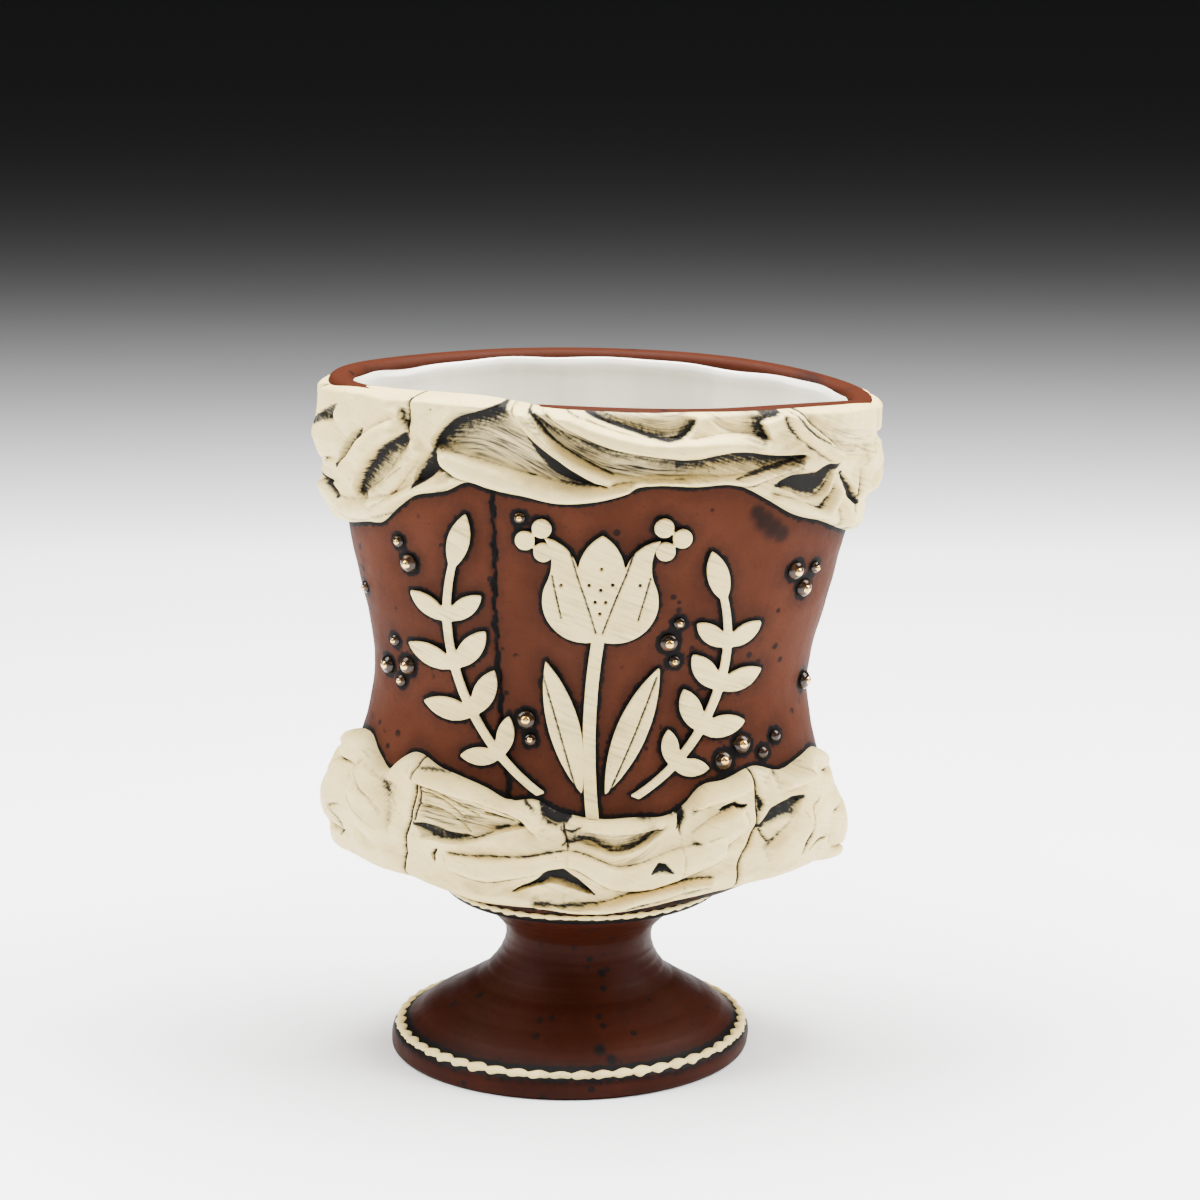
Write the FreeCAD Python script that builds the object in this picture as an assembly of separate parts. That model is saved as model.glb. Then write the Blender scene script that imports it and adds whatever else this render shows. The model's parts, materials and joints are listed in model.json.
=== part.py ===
"""Footed oval drinking cup in red clay, dressed with folded bands of cream clay.

A thrown hollow foot carries a shallow dish. A flared oval wall, bent from one slab, stands on the dish.
Torn wads of cream clay are pressed side by side round the rim and round the foot of the wall, scalloped
cream lines trim the foot, and a flat cream sprig and beads with gilt tops decorate the front.
The front faces -Y, +X is to the right and the foot stands on Z = 0. Lengths are millimetres.
"""

import FreeCAD
import Part

import math
import os

from FreeCAD import Placement, Rotation, Vector

os.makedirs("parts", exist_ok=True)

# Foot
foot_radius = 32.2
foot_edge_height = 4.2
foot_edge_round = 1.3
foot_centre_x = -5.6
foot_ring_width = 6.5
neck_radius = 13.1
neck_height = 20.5
foot_wall = 4.4
collar_radius = 25.0
collar_height = 31.5
collar_edge = 1.4
collar_centre_x = -2.9

# Body, upright about its own axis and then leaned as one piece; its rises are counted from the collar
body_lean_deg = 2.0
body_depth_share = 0.59
wall_thickness = 4.3
floor_thickness = 4.6
dish_rise = 8.5
dish_half_width = 41.4
belly_half_width = 42.6
belly_rise = 13.0
waist_half_width = 38.5
waist_rise = 37.5
rim_half_width = 47.8
rim_rise = 89.8
lip_round = 1.4
seam_angle_deg = 247.0
seam_width = 0.8
seam_depth = 0.7

# White glaze inside
glaze_thickness = 0.6
glaze_below_rim = 2.4

# Cream bands, each a row of wads that start and end at these angles round the oval, 270 facing the front
rim_band_drop = 26.0
rim_band_thickness = 4.2
rim_band_below_lip = 0.8
waist_band_rise = 1.0
waist_band_height = 24.5
waist_band_thickness = 4.6
band_bite = 2.5

# Scalloped cream lines on the foot
trim_thickness = 0.8
foot_trim_width = 2.2
foot_trim_inset = 0.5
foot_trim_pitch = 4.2
collar_trim_pitch = 2.9
scallop_depth_share = 0.2

# Flat cream sprig on the front, placed across from the body's axis and up from the collar
sprig_thickness = 0.9
tulip_across = 1.0
tulip_rise = 58.5
tulip_width = 20.0
tulip_height = 19.0
stem_width = 2.2
stem_rise = 17.5
tulip_leaf_length = 24.0
tulip_leaf_width = 5.4
tulip_leaf_apart = 2.0
left_leaf_spread_deg = 17.0
right_leaf_spread_deg = 21.0
laurel_apart = 8.1
laurel_reach = 24.4
laurel_rise = 21.5
laurel_height = 40.0
laurel_bow_share = 0.58
laurel_bow_height_share = 0.42
right_laurel_share = 0.9
laurel_leaf_length = 9.0
laurel_leaf_width = 3.8
laurel_leaf_turn_deg = 52.0
laurel_stem_width = 1.6
berry_radius = 1.7

# Beads of dark glaze with gilt tops
bead_radius = 1.7
small_bead_radius = 1.1
bead_height_share = 0.6
gilt_width_share = 0.62
gilt_thickness = 0.3

overrun = 3.0

# Steps along the smooth curves
wall_steps = 12
flare_steps = 10
hollow_steps = 7
rounding_steps = 3
section_degree = 3
dome_share = 0.8

UP = Vector(0, 0, 1)
ACROSS = Vector(0, 1, 0)
ORIGIN = Vector(0, 0, 0)
FULL_TURN = 360.0


def export(name, shape):
    """Writes one node, refusing anything that isn't closed and valid."""
    if not shape.Solids or not shape.isValid():
        raise ValueError(name + " is not a valid solid")
    shape.exportStep("parts/" + name + ".step")


def ring(centre_x, height, half_width, half_depth):
    """A closed level outline, round where its two half sizes agree."""
    centre = Vector(centre_x, 0, height)
    if math.isclose(half_width, half_depth):
        return Part.Wire([Part.Circle(centre, UP, half_width).toShape()])
    along = Vector(centre_x + half_width, 0, height)
    aside = Vector(centre_x, half_depth, height)
    return Part.Wire([Part.Ellipse(along, aside, centre).toShape()])


def stacked(rings):
    """A solid of narrow bands through a row of rings."""
    return Part.makeLoft(rings, True, True)


def sampled(places, count):
    """Even steps along a smooth curve through places given as radius and height."""
    spline = Part.BSplineCurve()
    spline.interpolate([Vector(r, 0, h) for r, h in places])
    first, last = spline.FirstParameter, spline.LastParameter
    points = [spline.value(first + (last - first) * step / count) for step in range(count + 1)]
    return [(point.x, point.z) for point in points]


def rounding(radius, height, inwards, rise, steps):
    """Places round a quarter turn that starts at a radius and height and ends level."""
    places = []
    for step in range(1, steps + 1):
        angle = math.pi / 2 * step / steps
        places.append((radius + inwards * (1 - math.cos(angle)), height + rise * math.sin(angle)))
    return places


# Foot, turned in one piece: a square edge, a flare in to the neck and out to the collar, and a hollow below


def foot_ring(radius, height):
    """A ring of the foot; their centres run from the base's to the collar's."""
    drift = (collar_centre_x - foot_centre_x) / collar_height
    return ring(foot_centre_x + drift * height, height, radius, radius)


def make_foot():
    shoulder = foot_radius - foot_edge_round
    shoulder_low = foot_edge_height - foot_edge_round
    collar_low = collar_height - collar_edge
    lower_shares = [(0.20, 0.735), (0.44, 0.37), (0.66, 0.13), (1.0, 0.0)]
    upper_shares = [(0.36, 0.13), (0.72, 0.5), (1.0, 1.0)]
    flare = [(shoulder, foot_edge_height)]
    for up, out in lower_shares:
        flare.append((neck_radius + out * (shoulder - neck_radius),
                      foot_edge_height + up * (neck_height - foot_edge_height)))
    for up, out in upper_shares:
        flare.append((neck_radius + out * (collar_radius - neck_radius),
                      neck_height + up * (collar_low - neck_height)))
    places = [(foot_radius, 0), (foot_radius, shoulder_low)]
    places += rounding(foot_radius, shoulder_low, -foot_edge_round, foot_edge_round, rounding_steps)
    places += sampled(flare, flare_steps)[1:]
    places.append((collar_radius, collar_height))
    outside = stacked([foot_ring(r, h) for r, h in places])

    hollow_radius = foot_radius - foot_ring_width
    bore_radius = neck_radius - foot_wall
    hollow_top = collar_height - foot_wall
    hollow_shares = [(0.0, 1.0), (0.28, 0.62), (0.55, 0.22), (0.8, 0.0), (1.0, 0.0)]
    hollow = [(bore_radius + out * (hollow_radius - bore_radius), up * (hollow_top - bore_radius / 2))
              for up, out in hollow_shares]
    places = [(hollow_radius, -overrun)] + sampled(hollow, hollow_steps)
    places += rounding(bore_radius, places[-1][1], -bore_radius * dome_share, bore_radius / 2, rounding_steps)
    return outside.cut(stacked([foot_ring(r, h) for r, h in places]))


# Body: one profile of half widths gives the wall, the space inside it and every layer laid on it

join_height = collar_height + dish_rise
belly_height = collar_height + belly_rise
waist_height = collar_height + waist_rise
rim_height = collar_height + rim_rise


def wall_places():
    """Half width and height from the dish up to the rim."""
    low_span = waist_height - belly_height
    high_span = rim_height - lip_round - waist_height
    low_shares = [(0.0, 1.0), (0.4, 0.70), (0.72, 0.22), (1.0, 0.0)]
    high_shares = [(0.34, 0.35), (0.69, 0.765), (1.0, 1.0)]
    places = [(dish_half_width, join_height)]
    for up, out in low_shares:
        places.append((waist_half_width + out * (belly_half_width - waist_half_width),
                       belly_height + up * low_span))
    for up, out in high_shares:
        places.append((waist_half_width + out * (rim_half_width - waist_half_width),
                       waist_height + up * high_span))
    return places


def body_ring(half_width, height, change):
    """An oval of the body with both half sizes changed alike."""
    return ring(0, height, half_width + change, half_width * body_depth_share + change)


def body_solid(grow):
    """All that the wall's outside encloses, moved out by grow, with the lip's round edge."""
    places = sampled(wall_places(), wall_steps)
    last_width, last_height = places[-1]
    places += rounding(last_width, last_height, -lip_round, lip_round, rounding_steps)
    return stacked([body_ring(r, h, grow) for r, h in places])


def cavity_solid(inset):
    """The drinking space, made smaller all round by inset and open past the lip."""
    change = -(wall_thickness + inset)
    floor = collar_height + floor_thickness + inset
    sides = sampled(wall_places()[1:], wall_steps)
    rise = sides[0][1] - floor
    bowl_shares = [(0.76, 0.0), (0.88, 0.12), (0.96, 0.45)]
    places = [(sides[0][0] * out, floor + up * rise) for out, up in bowl_shares] + sides
    last_width, last_height = places[-1]
    places += rounding(last_width, last_height, lip_round, lip_round, rounding_steps)
    places.append((last_width + lip_round, rim_height + overrun))
    return stacked([body_ring(r, h, change) for r, h in places])


lean_pivot = Vector(0, 0, collar_height)


def leaned(shape):
    """Leans an upright body piece to the right about the middle of the collar and sets it on the foot."""
    moved = shape.copy()
    moved.Placement = Placement(Vector(collar_centre_x, 0, 0), Rotation(ACROSS, body_lean_deg), lean_pivot)
    return moved


dish_shares = [(0.0, 0.0), (0.17, 0.27), (0.34, 0.50), (0.52, 0.70), (0.72, 0.87), (1.0, 1.0)]


def dish_half_sizes(up_share, out_share):
    """Height, half width and half depth of the dish between the collar and the wall."""
    half_width = collar_radius + out_share * (dish_half_width - collar_radius)
    half_depth = collar_radius + out_share * (dish_half_width * body_depth_share - collar_radius)
    return collar_height + up_share * dish_rise, half_width, half_depth


def dish_solid():
    """The dish under the wall, filled: round and level on the collar, oval at the wall."""
    rings = [ring(0, *dish_half_sizes(up, out)) for up, out in dish_shares]
    rings[0].Placement = Placement(ORIGIN, Rotation(ACROSS, -body_lean_deg), lean_pivot)
    return stacked(rings)


def true_angle(oval_angle_deg):
    """Plan direction of a place on the oval that is given by its angle on a circle."""
    t = math.radians(oval_angle_deg)
    return math.atan2(body_depth_share * math.sin(t), math.cos(t))


def seam_slot():
    """The narrow step where the slab's two ends overlap."""
    blade = Part.makeBox(rim_half_width + overrun, seam_width, rim_height,
                         Vector(0, -seam_width / 2, join_height))
    blade.rotate(ORIGIN, UP, math.degrees(true_angle(seam_angle_deg)))
    return blade.cut(body_solid(-seam_depth))


def make_wall(outer, cavity):
    """The slab wall with the drinking space and the seam taken out."""
    return outer.cut(cavity).cut(seam_slot())


def make_lining(cavity):
    """The white glaze, a skin over the inside that stops short of the lip."""
    skin = cavity.cut(cavity_solid(glaze_thickness))
    above = Part.makeCylinder(rim_half_width + overrun, rim_height, Vector(0, 0, rim_height - glaze_below_rim))
    return skin.cut(above)


# Bands: each wad is a loft through upright sections that stand on planes through the body's axis


body_rows = [dish_half_sizes(up, out) for up, out in dish_shares]
body_rows += [(h, r, r * body_depth_share) for r, h in sampled(wall_places(), wall_steps)[1:]]


def half_sizes_at(height):
    """Half width and half depth of the body's outside at a height."""
    height = min(max(height, body_rows[0][0]), body_rows[-1][0])
    for low, high in zip(body_rows, body_rows[1:]):
        if height <= high[0]:
            mix = (height - low[0]) / (high[0] - low[0])
            return low[1] + mix * (high[1] - low[1]), low[2] + mix * (high[2] - low[2])


def reach(height, plan_angle):
    """Distance from the axis to the body's outside in one plan direction."""
    half_width, half_depth = half_sizes_at(height)
    return 1 / math.hypot(math.cos(plan_angle) / half_width, math.sin(plan_angle) / half_depth)


# How a wad's outside lies between its lower and upper edge: height share, and share of each roll's thickness
section_shares = [
    (0.02, (0.55, 0.0, 0.0)),
    (0.24, (1.0, 0.0, 0.0)),
    (0.52, (0.0, 1.0, 0.0)),
    (0.80, (0.0, 0.0, 1.0)),
    (0.97, (0.0, 0.0, 0.5)),
]


def wad_section(oval_angle_deg, low, high, rolls):
    """One upright section: its foot and head lie inside the wall, its three rolls stand out from it."""
    plan = true_angle(oval_angle_deg)
    t = math.radians(oval_angle_deg)
    slant = math.hypot(math.cos(t), math.sin(t) / body_depth_share)
    slant *= math.hypot(math.cos(t), math.sin(t) * body_depth_share)
    places = [(reach(low, plan) - band_bite, low)]
    for up, mix in section_shares:
        height = low + up * (high - low)
        out = sum(share * roll for share, roll in zip(mix, rolls))
        places.append((reach(max(height, join_height), plan) + out * slant, height))
    places.append((reach(high, plan) - band_bite, high))
    spline = Part.BSplineCurve()
    points = [Vector(r * math.cos(plan), r * math.sin(plan), h) for r, h in places]
    spline.buildFromPoles(points, False, section_degree)
    return Part.Wire([spline.toShape(), Part.makeLine(points[-1], points[0])])


def make_wad(start_deg, end_deg, rows, edge_heights, thickness, carriers):
    """Lofts a wad through its sections and cuts it to sit on what carries it."""
    sections = []
    for along, low_share, high_share, *roll_shares in rows:
        low, high = edge_heights(low_share, high_share)
        rolls = [share * thickness for share in roll_shares]
        sections.append(wad_section(start_deg + along * (end_deg - start_deg), low, high, rolls))
    wad = stacked(sections)
    for carrier in carriers:
        wad = wad.cut(carrier)
    return max(wad.Solids, key=lambda solid: solid.Volume)


# Rows of each wad: share of its length, how far its lower and upper edge come down or up, and three rolls
rim_wads = {
    "rim_fold_left_end": (168.0, 226.0, [
        (0.0, 0.96, 0.0, 0.8, 0.8, 0.8), (0.28, 0.97, 0.0, 1.2, 0.55, 1.1), (0.5, 0.92, 0.0, 1.2, 0.9, 0.7),
        (0.7, 0.88, 0.0, 1.1, 0.45, 1.0), (0.86, 0.79, 0.0, 1.1, 0.5, 1.1), (1.0, 0.66, 0.0, 1.1, 0.5, 0.9)]),
    "rim_fold_left_front": (226.0, 255.0, [
        (0.0, 0.66, 0.0, 1.1, 0.5, 0.8), (0.25, 0.60, 0.0, 1.0, 0.6, 1.2), (0.5, 0.53, 0.0, 1.4, 0.3, 1.1),
        (0.75, 0.52, 0.0, 1.4, 0.3, 0.8), (1.0, 0.56, 0.0, 1.3, 0.3, 1.3)]),
    "rim_fold_middle_front": (255.0, 311.0, [
        (0.0, 0.57, 0.0, 1.3, 0.3, 1.3), (0.07, 0.58, 0.0, 1.3, 0.8, 1.1), (0.15, 0.59, 0.0, 1.3, 1.4, 0.4),
        (0.23, 0.58, 0.0, 1.5, 0.9, 0.5), (0.34, 0.53, 0.0, 1.5, 0.4, 1.0), (0.5, 0.50, 0.0, 1.2, 0.6, 1.1),
        (0.75, 0.46, 0.0, 1.2, 0.5, 1.0), (0.88, 0.49, 0.0, 1.2, 0.3, 1.1), (1.0, 0.60, 0.0, 1.1, 0.4, 1.1)]),
    "rim_fold_right_front": (311.0, 342.0, [
        (0.0, 0.60, 0.0, 1.1, 0.3, 1.2), (0.35, 0.70, 0.0, 1.2, 0.2, 1.3), (0.7, 0.78, 0.0, 0.9, 0.4, 1.2),
        (1.0, 0.86, 0.0, 1.0, 1.0, 0.9)]),
    "rim_fold_right_end": (342.0, 378.0, [
        (0.0, 0.86, 0.0, 0.6, 1.1, 0.8), (0.4, 0.90, 0.0, 0.6, 1.0, 0.7), (0.7, 0.88, 0.0, 0.8, 0.7, 0.9),
        (1.0, 0.86, 0.0, 1.0, 0.6, 0.9)]),
    "rim_fold_right_back": (18.0, 66.0, [
        (0.0, 0.84, 0.0, 1.0, 0.5, 0.9), (0.4, 0.68, 0.0, 1.2, 0.5, 0.9), (0.7, 0.60, 0.0, 1.0, 0.9, 0.7),
        (1.0, 0.62, 0.0, 1.0, 0.5, 1.1)]),
    "rim_fold_middle_back": (66.0, 120.0, [
        (0.0, 0.62, 0.0, 1.0, 0.5, 1.2), (0.2, 0.60, 0.0, 1.1, 0.9, 0.7), (0.4, 0.54, 0.0, 1.3, 0.6, 0.8),
        (0.7, 0.52, 0.0, 1.3, 0.5, 1.0), (1.0, 0.58, 0.0, 1.1, 0.4, 1.1)]),
    "rim_fold_left_back": (120.0, 168.0, [
        (0.0, 0.60, 0.0, 1.2, 0.5, 0.9), (0.35, 0.66, 0.0, 1.1, 0.5, 1.1), (0.7, 0.84, 0.0, 1.0, 0.9, 0.7),
        (1.0, 0.94, 0.0, 0.9, 0.8, 0.8)]),
}
waist_wads = {
    "waist_fold_left_end": (172.0, 221.0, [
        (0.0, 0.04, 0.98, 1.1, 1.1, 0.7), (0.35, 0.02, 1.0, 1.3, 1.2, 0.8), (0.7, 0.03, 0.95, 1.2, 1.3, 0.8),
        (1.0, 0.10, 0.92, 1.0, 1.0, 0.7)]),
    "waist_fold_left_front": (221.0, 264.0, [
        (0.0, 0.12, 0.94, 1.1, 0.7, 0.7), (0.25, 0.10, 0.93, 1.3, 0.6, 0.8), (0.5, 0.07, 0.86, 1.3, 0.7, 0.8),
        (0.75, 0.0, 0.74, 1.2, 1.0, 0.5), (1.0, 0.0, 0.69, 1.1, 1.0, 0.4)]),
    "waist_fold_middle_front": (264.0, 297.0, [
        (0.0, 0.0, 0.69, 1.1, 0.9, 0.4), (0.35, 0.0, 0.66, 1.0, 1.1, 0.5), (0.7, 0.0, 0.68, 1.0, 1.2, 0.6),
        (1.0, 0.08, 0.84, 1.0, 1.0, 0.6)]),
    "waist_fold_right_front": (297.0, 317.0, [
        (0.0, 0.09, 0.87, 1.0, 1.0, 0.6), (0.5, 0.12, 0.97, 1.2, 0.7, 1.0), (1.0, 0.16, 1.0, 1.0, 0.8, 0.9)]),
    "waist_fold_right_end": (317.0, 372.0, [
        (0.0, 0.16, 1.0, 1.0, 0.8, 0.9), (0.3, 0.18, 0.97, 1.1, 1.0, 0.8), (0.65, 0.16, 1.0, 1.1, 1.0, 0.7),
        (1.0, 0.09, 0.93, 1.0, 0.9, 0.6)]),
    "waist_fold_right_back": (12.0, 62.0, [
        (0.0, 0.07, 0.92, 0.9, 0.9, 0.6), (0.45, 0.04, 0.86, 1.0, 0.8, 0.7), (0.8, 0.02, 0.90, 1.1, 0.8, 0.7),
        (1.0, 0.02, 0.90, 1.0, 0.9, 0.5)]),
    "waist_fold_middle_back": (62.0, 120.0, [
        (0.0, 0.02, 0.90, 1.0, 0.8, 0.6), (0.25, 0.0, 0.78, 0.9, 1.0, 0.5), (0.5, 0.0, 0.73, 1.1, 0.8, 0.6),
        (0.75, 0.0, 0.78, 1.0, 1.0, 0.5), (1.0, 0.02, 0.85, 1.0, 0.9, 0.5)]),
    "waist_fold_left_back": (120.0, 172.0, [
        (0.0, 0.02, 0.85, 1.0, 0.8, 0.7), (0.5, 0.05, 0.90, 1.1, 0.8, 0.7), (1.0, 0.02, 0.98, 1.1, 1.0, 0.6)]),
}


def rim_edge_heights(low_share, high_share):
    """A rim wad's edges, counted down from under the lip."""
    top = rim_height - rim_band_below_lip
    return top - low_share * rim_band_drop, top - high_share * rim_band_drop


def waist_edge_heights(low_share, high_share):
    """A waist wad's edges, counted up from above the collar."""
    base = collar_height + waist_band_rise
    return base + low_share * waist_band_height, base + high_share * waist_band_height


# Scalloped lines


def scalloped_disc(radius, pitch, low, high):
    """An upright disc whose side is a row of equal outward scallops."""
    count = round(math.tau * radius / pitch)
    step = math.tau / count
    valley = radius - pitch * scallop_depth_share
    arcs = []
    for index in range(count):
        corners = [(valley, index), (radius, index + 0.5), (valley, index + 1)]
        points = [Vector(r * math.cos(i * step), r * math.sin(i * step), low) for r, i in corners]
        arcs.append(Part.Arc(*points).toShape())
    return Part.Face(Part.Wire(arcs)).extrude(Vector(0, 0, high - low))


def make_foot_trim(foot):
    """A cream line on the shoulder of the foot's edge, scalloped on both sides."""
    outer = foot_radius - foot_trim_inset
    inner = outer - foot_trim_width + foot_trim_pitch * scallop_depth_share
    low = foot_edge_height - foot_edge_round
    high = neck_height
    line = scalloped_disc(outer, foot_trim_pitch, low, high)
    line = line.cut(scalloped_disc(inner, foot_trim_pitch * inner / outer, low, high))
    raised = foot.copy()
    raised.translate(Vector(0, 0, trim_thickness))
    skin = raised.cut(foot)
    line.translate(Vector(foot_centre_x, 0, 0))
    return max(skin.common(line).Solids, key=lambda solid: solid.Volume)


def make_collar_trim(foot):
    """A finer cream line round the edge of the collar."""
    radius = collar_radius + trim_thickness
    line = scalloped_disc(radius, collar_trim_pitch, collar_height - collar_edge, collar_height)
    line.translate(Vector(collar_centre_x, 0, 0))
    return max(line.cut(foot).Solids, key=lambda solid: solid.Volume)


# Sprig: flat outlines seen from the front, laid on the wall as a thin layer

tulip_middle = collar_height + tulip_rise
stem_low = collar_height + stem_rise
laurel_low = collar_height + laurel_rise


def front(x, z):
    """A place on the upright plane before the cup."""
    return Vector(x, -rim_half_width, z)


def lens(base, tip, width):
    """A leaf outline of two arcs from base to tip."""
    along = tip.sub(base)
    middle = base.add(tip).multiply(0.5)
    aside = along.cross(ACROSS)
    aside = aside.multiply(width / 2 / aside.Length)
    right = Part.Arc(base, middle.add(aside), tip).toShape()
    left = Part.Arc(tip, middle.sub(aside), base).toShape()
    return Part.Wire([right, left])


def prism(*outlines):
    """Outlines on the front plane, joined and carried back through the wall."""
    faces = [Part.Face(outline) for outline in outlines]
    joined = faces[0].multiFuse(faces[1:]).removeSplitter() if len(faces) > 1 else faces[0]
    return joined.Faces[0].extrude(ACROSS * rim_half_width)


def ribbon(start, middle, end, width):
    """A narrow band of even width along an arc."""
    chord = end.sub(start)
    aside = chord.cross(ACROSS)
    aside = aside.multiply(width / 2 / aside.Length)
    outer = Part.Arc(start.add(aside), middle.add(aside), end.add(aside)).toShape()
    inner = Part.Arc(end.sub(aside), middle.sub(aside), start.sub(aside)).toShape()
    cap_end = Part.makeLine(end.add(aside), end.sub(aside))
    cap_start = Part.makeLine(start.sub(aside), start.add(aside))
    return Part.Wire([outer, cap_end, inner, cap_start])


tulip_shares = [  # Half outline from the base up to the middle tip, as arcs of three points
    ((0.0, -0.5), (0.44, -0.34), (0.47, 0.02)),
    ((0.47, 0.02), (0.43, 0.26), (0.5, 0.46)),
    ((0.5, 0.46), (0.30, 0.36), (0.20, 0.16)),
    ((0.20, 0.16), (0.14, 0.36), (0.0, 0.5)),
]


def by_tulip(across_share, up_share):
    """A place counted from the middle of the tulip in shares of its size."""
    return front(tulip_across + across_share * tulip_width, tulip_middle + up_share * tulip_height)


def make_tulip():
    edges = []
    for side in (1, -1):
        for arc in tulip_shares:
            edges.append(Part.Arc(*[by_tulip(side * across, up) for across, up in arc]).toShape())
    return prism(Part.Wire(Part.sortEdges(edges)[0]))


def make_tulip_stem():
    top = tulip_middle - tulip_height / 2 + stem_width / 2
    middle = front(tulip_across - stem_width / 2, (top + stem_low) / 2)
    return prism(ribbon(front(tulip_across, stem_low), middle, front(tulip_across, top), stem_width))


def make_tulip_leaves():
    leaves = []
    for side, spread_deg in ((-1, left_leaf_spread_deg), (1, right_leaf_spread_deg)):
        spread = math.radians(spread_deg)
        start = front(tulip_across + side * tulip_leaf_apart, stem_low + 2 * stem_width)
        tip = start.add(Vector(side * math.sin(spread), 0, math.cos(spread)).multiply(tulip_leaf_length))
        leaves.append(prism(lens(start, tip, tulip_leaf_width)))
    return leaves


laurel_leaf_shares = [(0.2, 0.8), (0.38, 1.0), (0.57, 1.0), (0.76, 0.88)]


def make_laurel(side, size_share):
    """A stem that bows outwards, with pairs of pointed leaves and one leaf at its tip."""
    height = laurel_height * size_share
    reach_across = laurel_reach * size_share
    stem = Part.Arc(front(side * laurel_apart, laurel_low),
                    front(side * (laurel_apart + laurel_bow_share * reach_across),
                          laurel_low + laurel_bow_height_share * height),
                    front(side * reach_across, laurel_low + height))
    start, end = stem.FirstParameter, stem.LastParameter
    outlines = [ribbon(stem.value(start), stem.value((start + end) / 2), stem.value(end), laurel_stem_width)]
    for along, size in laurel_leaf_shares:
        at = start + along * (end - start)
        for turn_deg in (laurel_leaf_turn_deg, -laurel_leaf_turn_deg):
            way = Rotation(ACROSS, turn_deg).multVec(stem.tangent(at)[0])
            tip = stem.value(at) + way * laurel_leaf_length * size * size_share
            outlines.append(lens(stem.value(at), tip, laurel_leaf_width * size))
    way = stem.tangent(end)[0]
    outlines.append(lens(stem.value(end) - way * laurel_stem_width,
                         stem.value(end) + way * laurel_leaf_length * size_share, laurel_leaf_width))
    return prism(*outlines)


berry_shares = [(-0.52, 0.54), (-0.66, 0.42), (-0.50, 0.32), (0.52, 0.58), (0.68, 0.48), (0.54, 0.36)]


def make_berries():
    """Loose berries on both sides of the tulip's head."""
    return [prism(Part.Wire([Part.Circle(by_tulip(across, up), ACROSS, berry_radius).toShape()]))
            for across, up in berry_shares]


def laid_on(skin, solids):
    """Cuts prisms out of the layer over the wall's front."""
    pieces = []
    for solid in solids:
        pieces += solid.common(skin).Solids
    return Part.Compound(pieces) if len(pieces) > 1 else pieces[0]


# Places of the beads: angle round the oval, and share of the rise from the collar to the rim
large_gilt_shares = [
    (221.5, 0.666), (214.0, 0.452), (253.5, 0.379), (289.0, 0.541), (305.5, 0.303), (312.0, 0.331),
    (323.5, 0.673), (329.2, 0.634), (345.7, 0.430), (203.0, 0.442),
]
small_gilt_shares = [
    (219.0, 0.707), (211.0, 0.419), (255.0, 0.341), (291.0, 0.503), (291.0, 0.581), (332.3, 0.673),
    (194.0, 0.588), (209.0, 0.498), (253.0, 0.783),
]
dark_shares = [
    (325.3, 0.338), (319.3, 0.310),
]


def on_wall(oval_angle_deg, rise_share):
    """A place on the wall's outside and the way straight out from it."""
    plan = true_angle(oval_angle_deg)
    height = collar_height + rise_share * rim_rise
    away = reach(height, plan)
    t = math.radians(oval_angle_deg)
    outwards = Vector(math.cos(t), math.sin(t) / body_depth_share, 0).normalize()
    flare = (reach(height + bead_radius, plan) - reach(height - bead_radius, plan)) / (2 * bead_radius)
    along = Vector(math.cos(plan), math.sin(plan), 0)
    outwards.z = -flare * along.dot(outwards)
    return along * away + UP * height, outwards.normalize()


def dome_on_wall(place, radius):
    """Radius and centre of the ball whose top makes a bead, and the way it points."""
    point, outwards = on_wall(*place)
    height = radius * bead_height_share
    dome_radius = (radius ** 2 + height ** 2) / (2 * height)
    return dome_radius, point - outwards * (dome_radius - height), outwards


def make_bead(place, radius):
    """A low dome of dark glaze with a flat base on the wall."""
    dome_radius, centre, outwards = dome_on_wall(place, radius)
    base_angle = math.degrees(math.acos(radius / dome_radius))
    return Part.makeSphere(dome_radius, centre, outwards, base_angle, FULL_TURN / 4, FULL_TURN)


def make_gilt(place, radius):
    """A thin gilt cap on a bead."""
    dome_radius, centre, outwards = dome_on_wall(place, radius)
    cap = Part.makeCylinder(radius * gilt_width_share, dome_radius + overrun, centre, outwards)
    cap = cap.common(Part.makeSphere(dome_radius + gilt_thickness, centre, outwards))
    return cap.cut(Part.makeSphere(dome_radius, centre, outwards))


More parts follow.
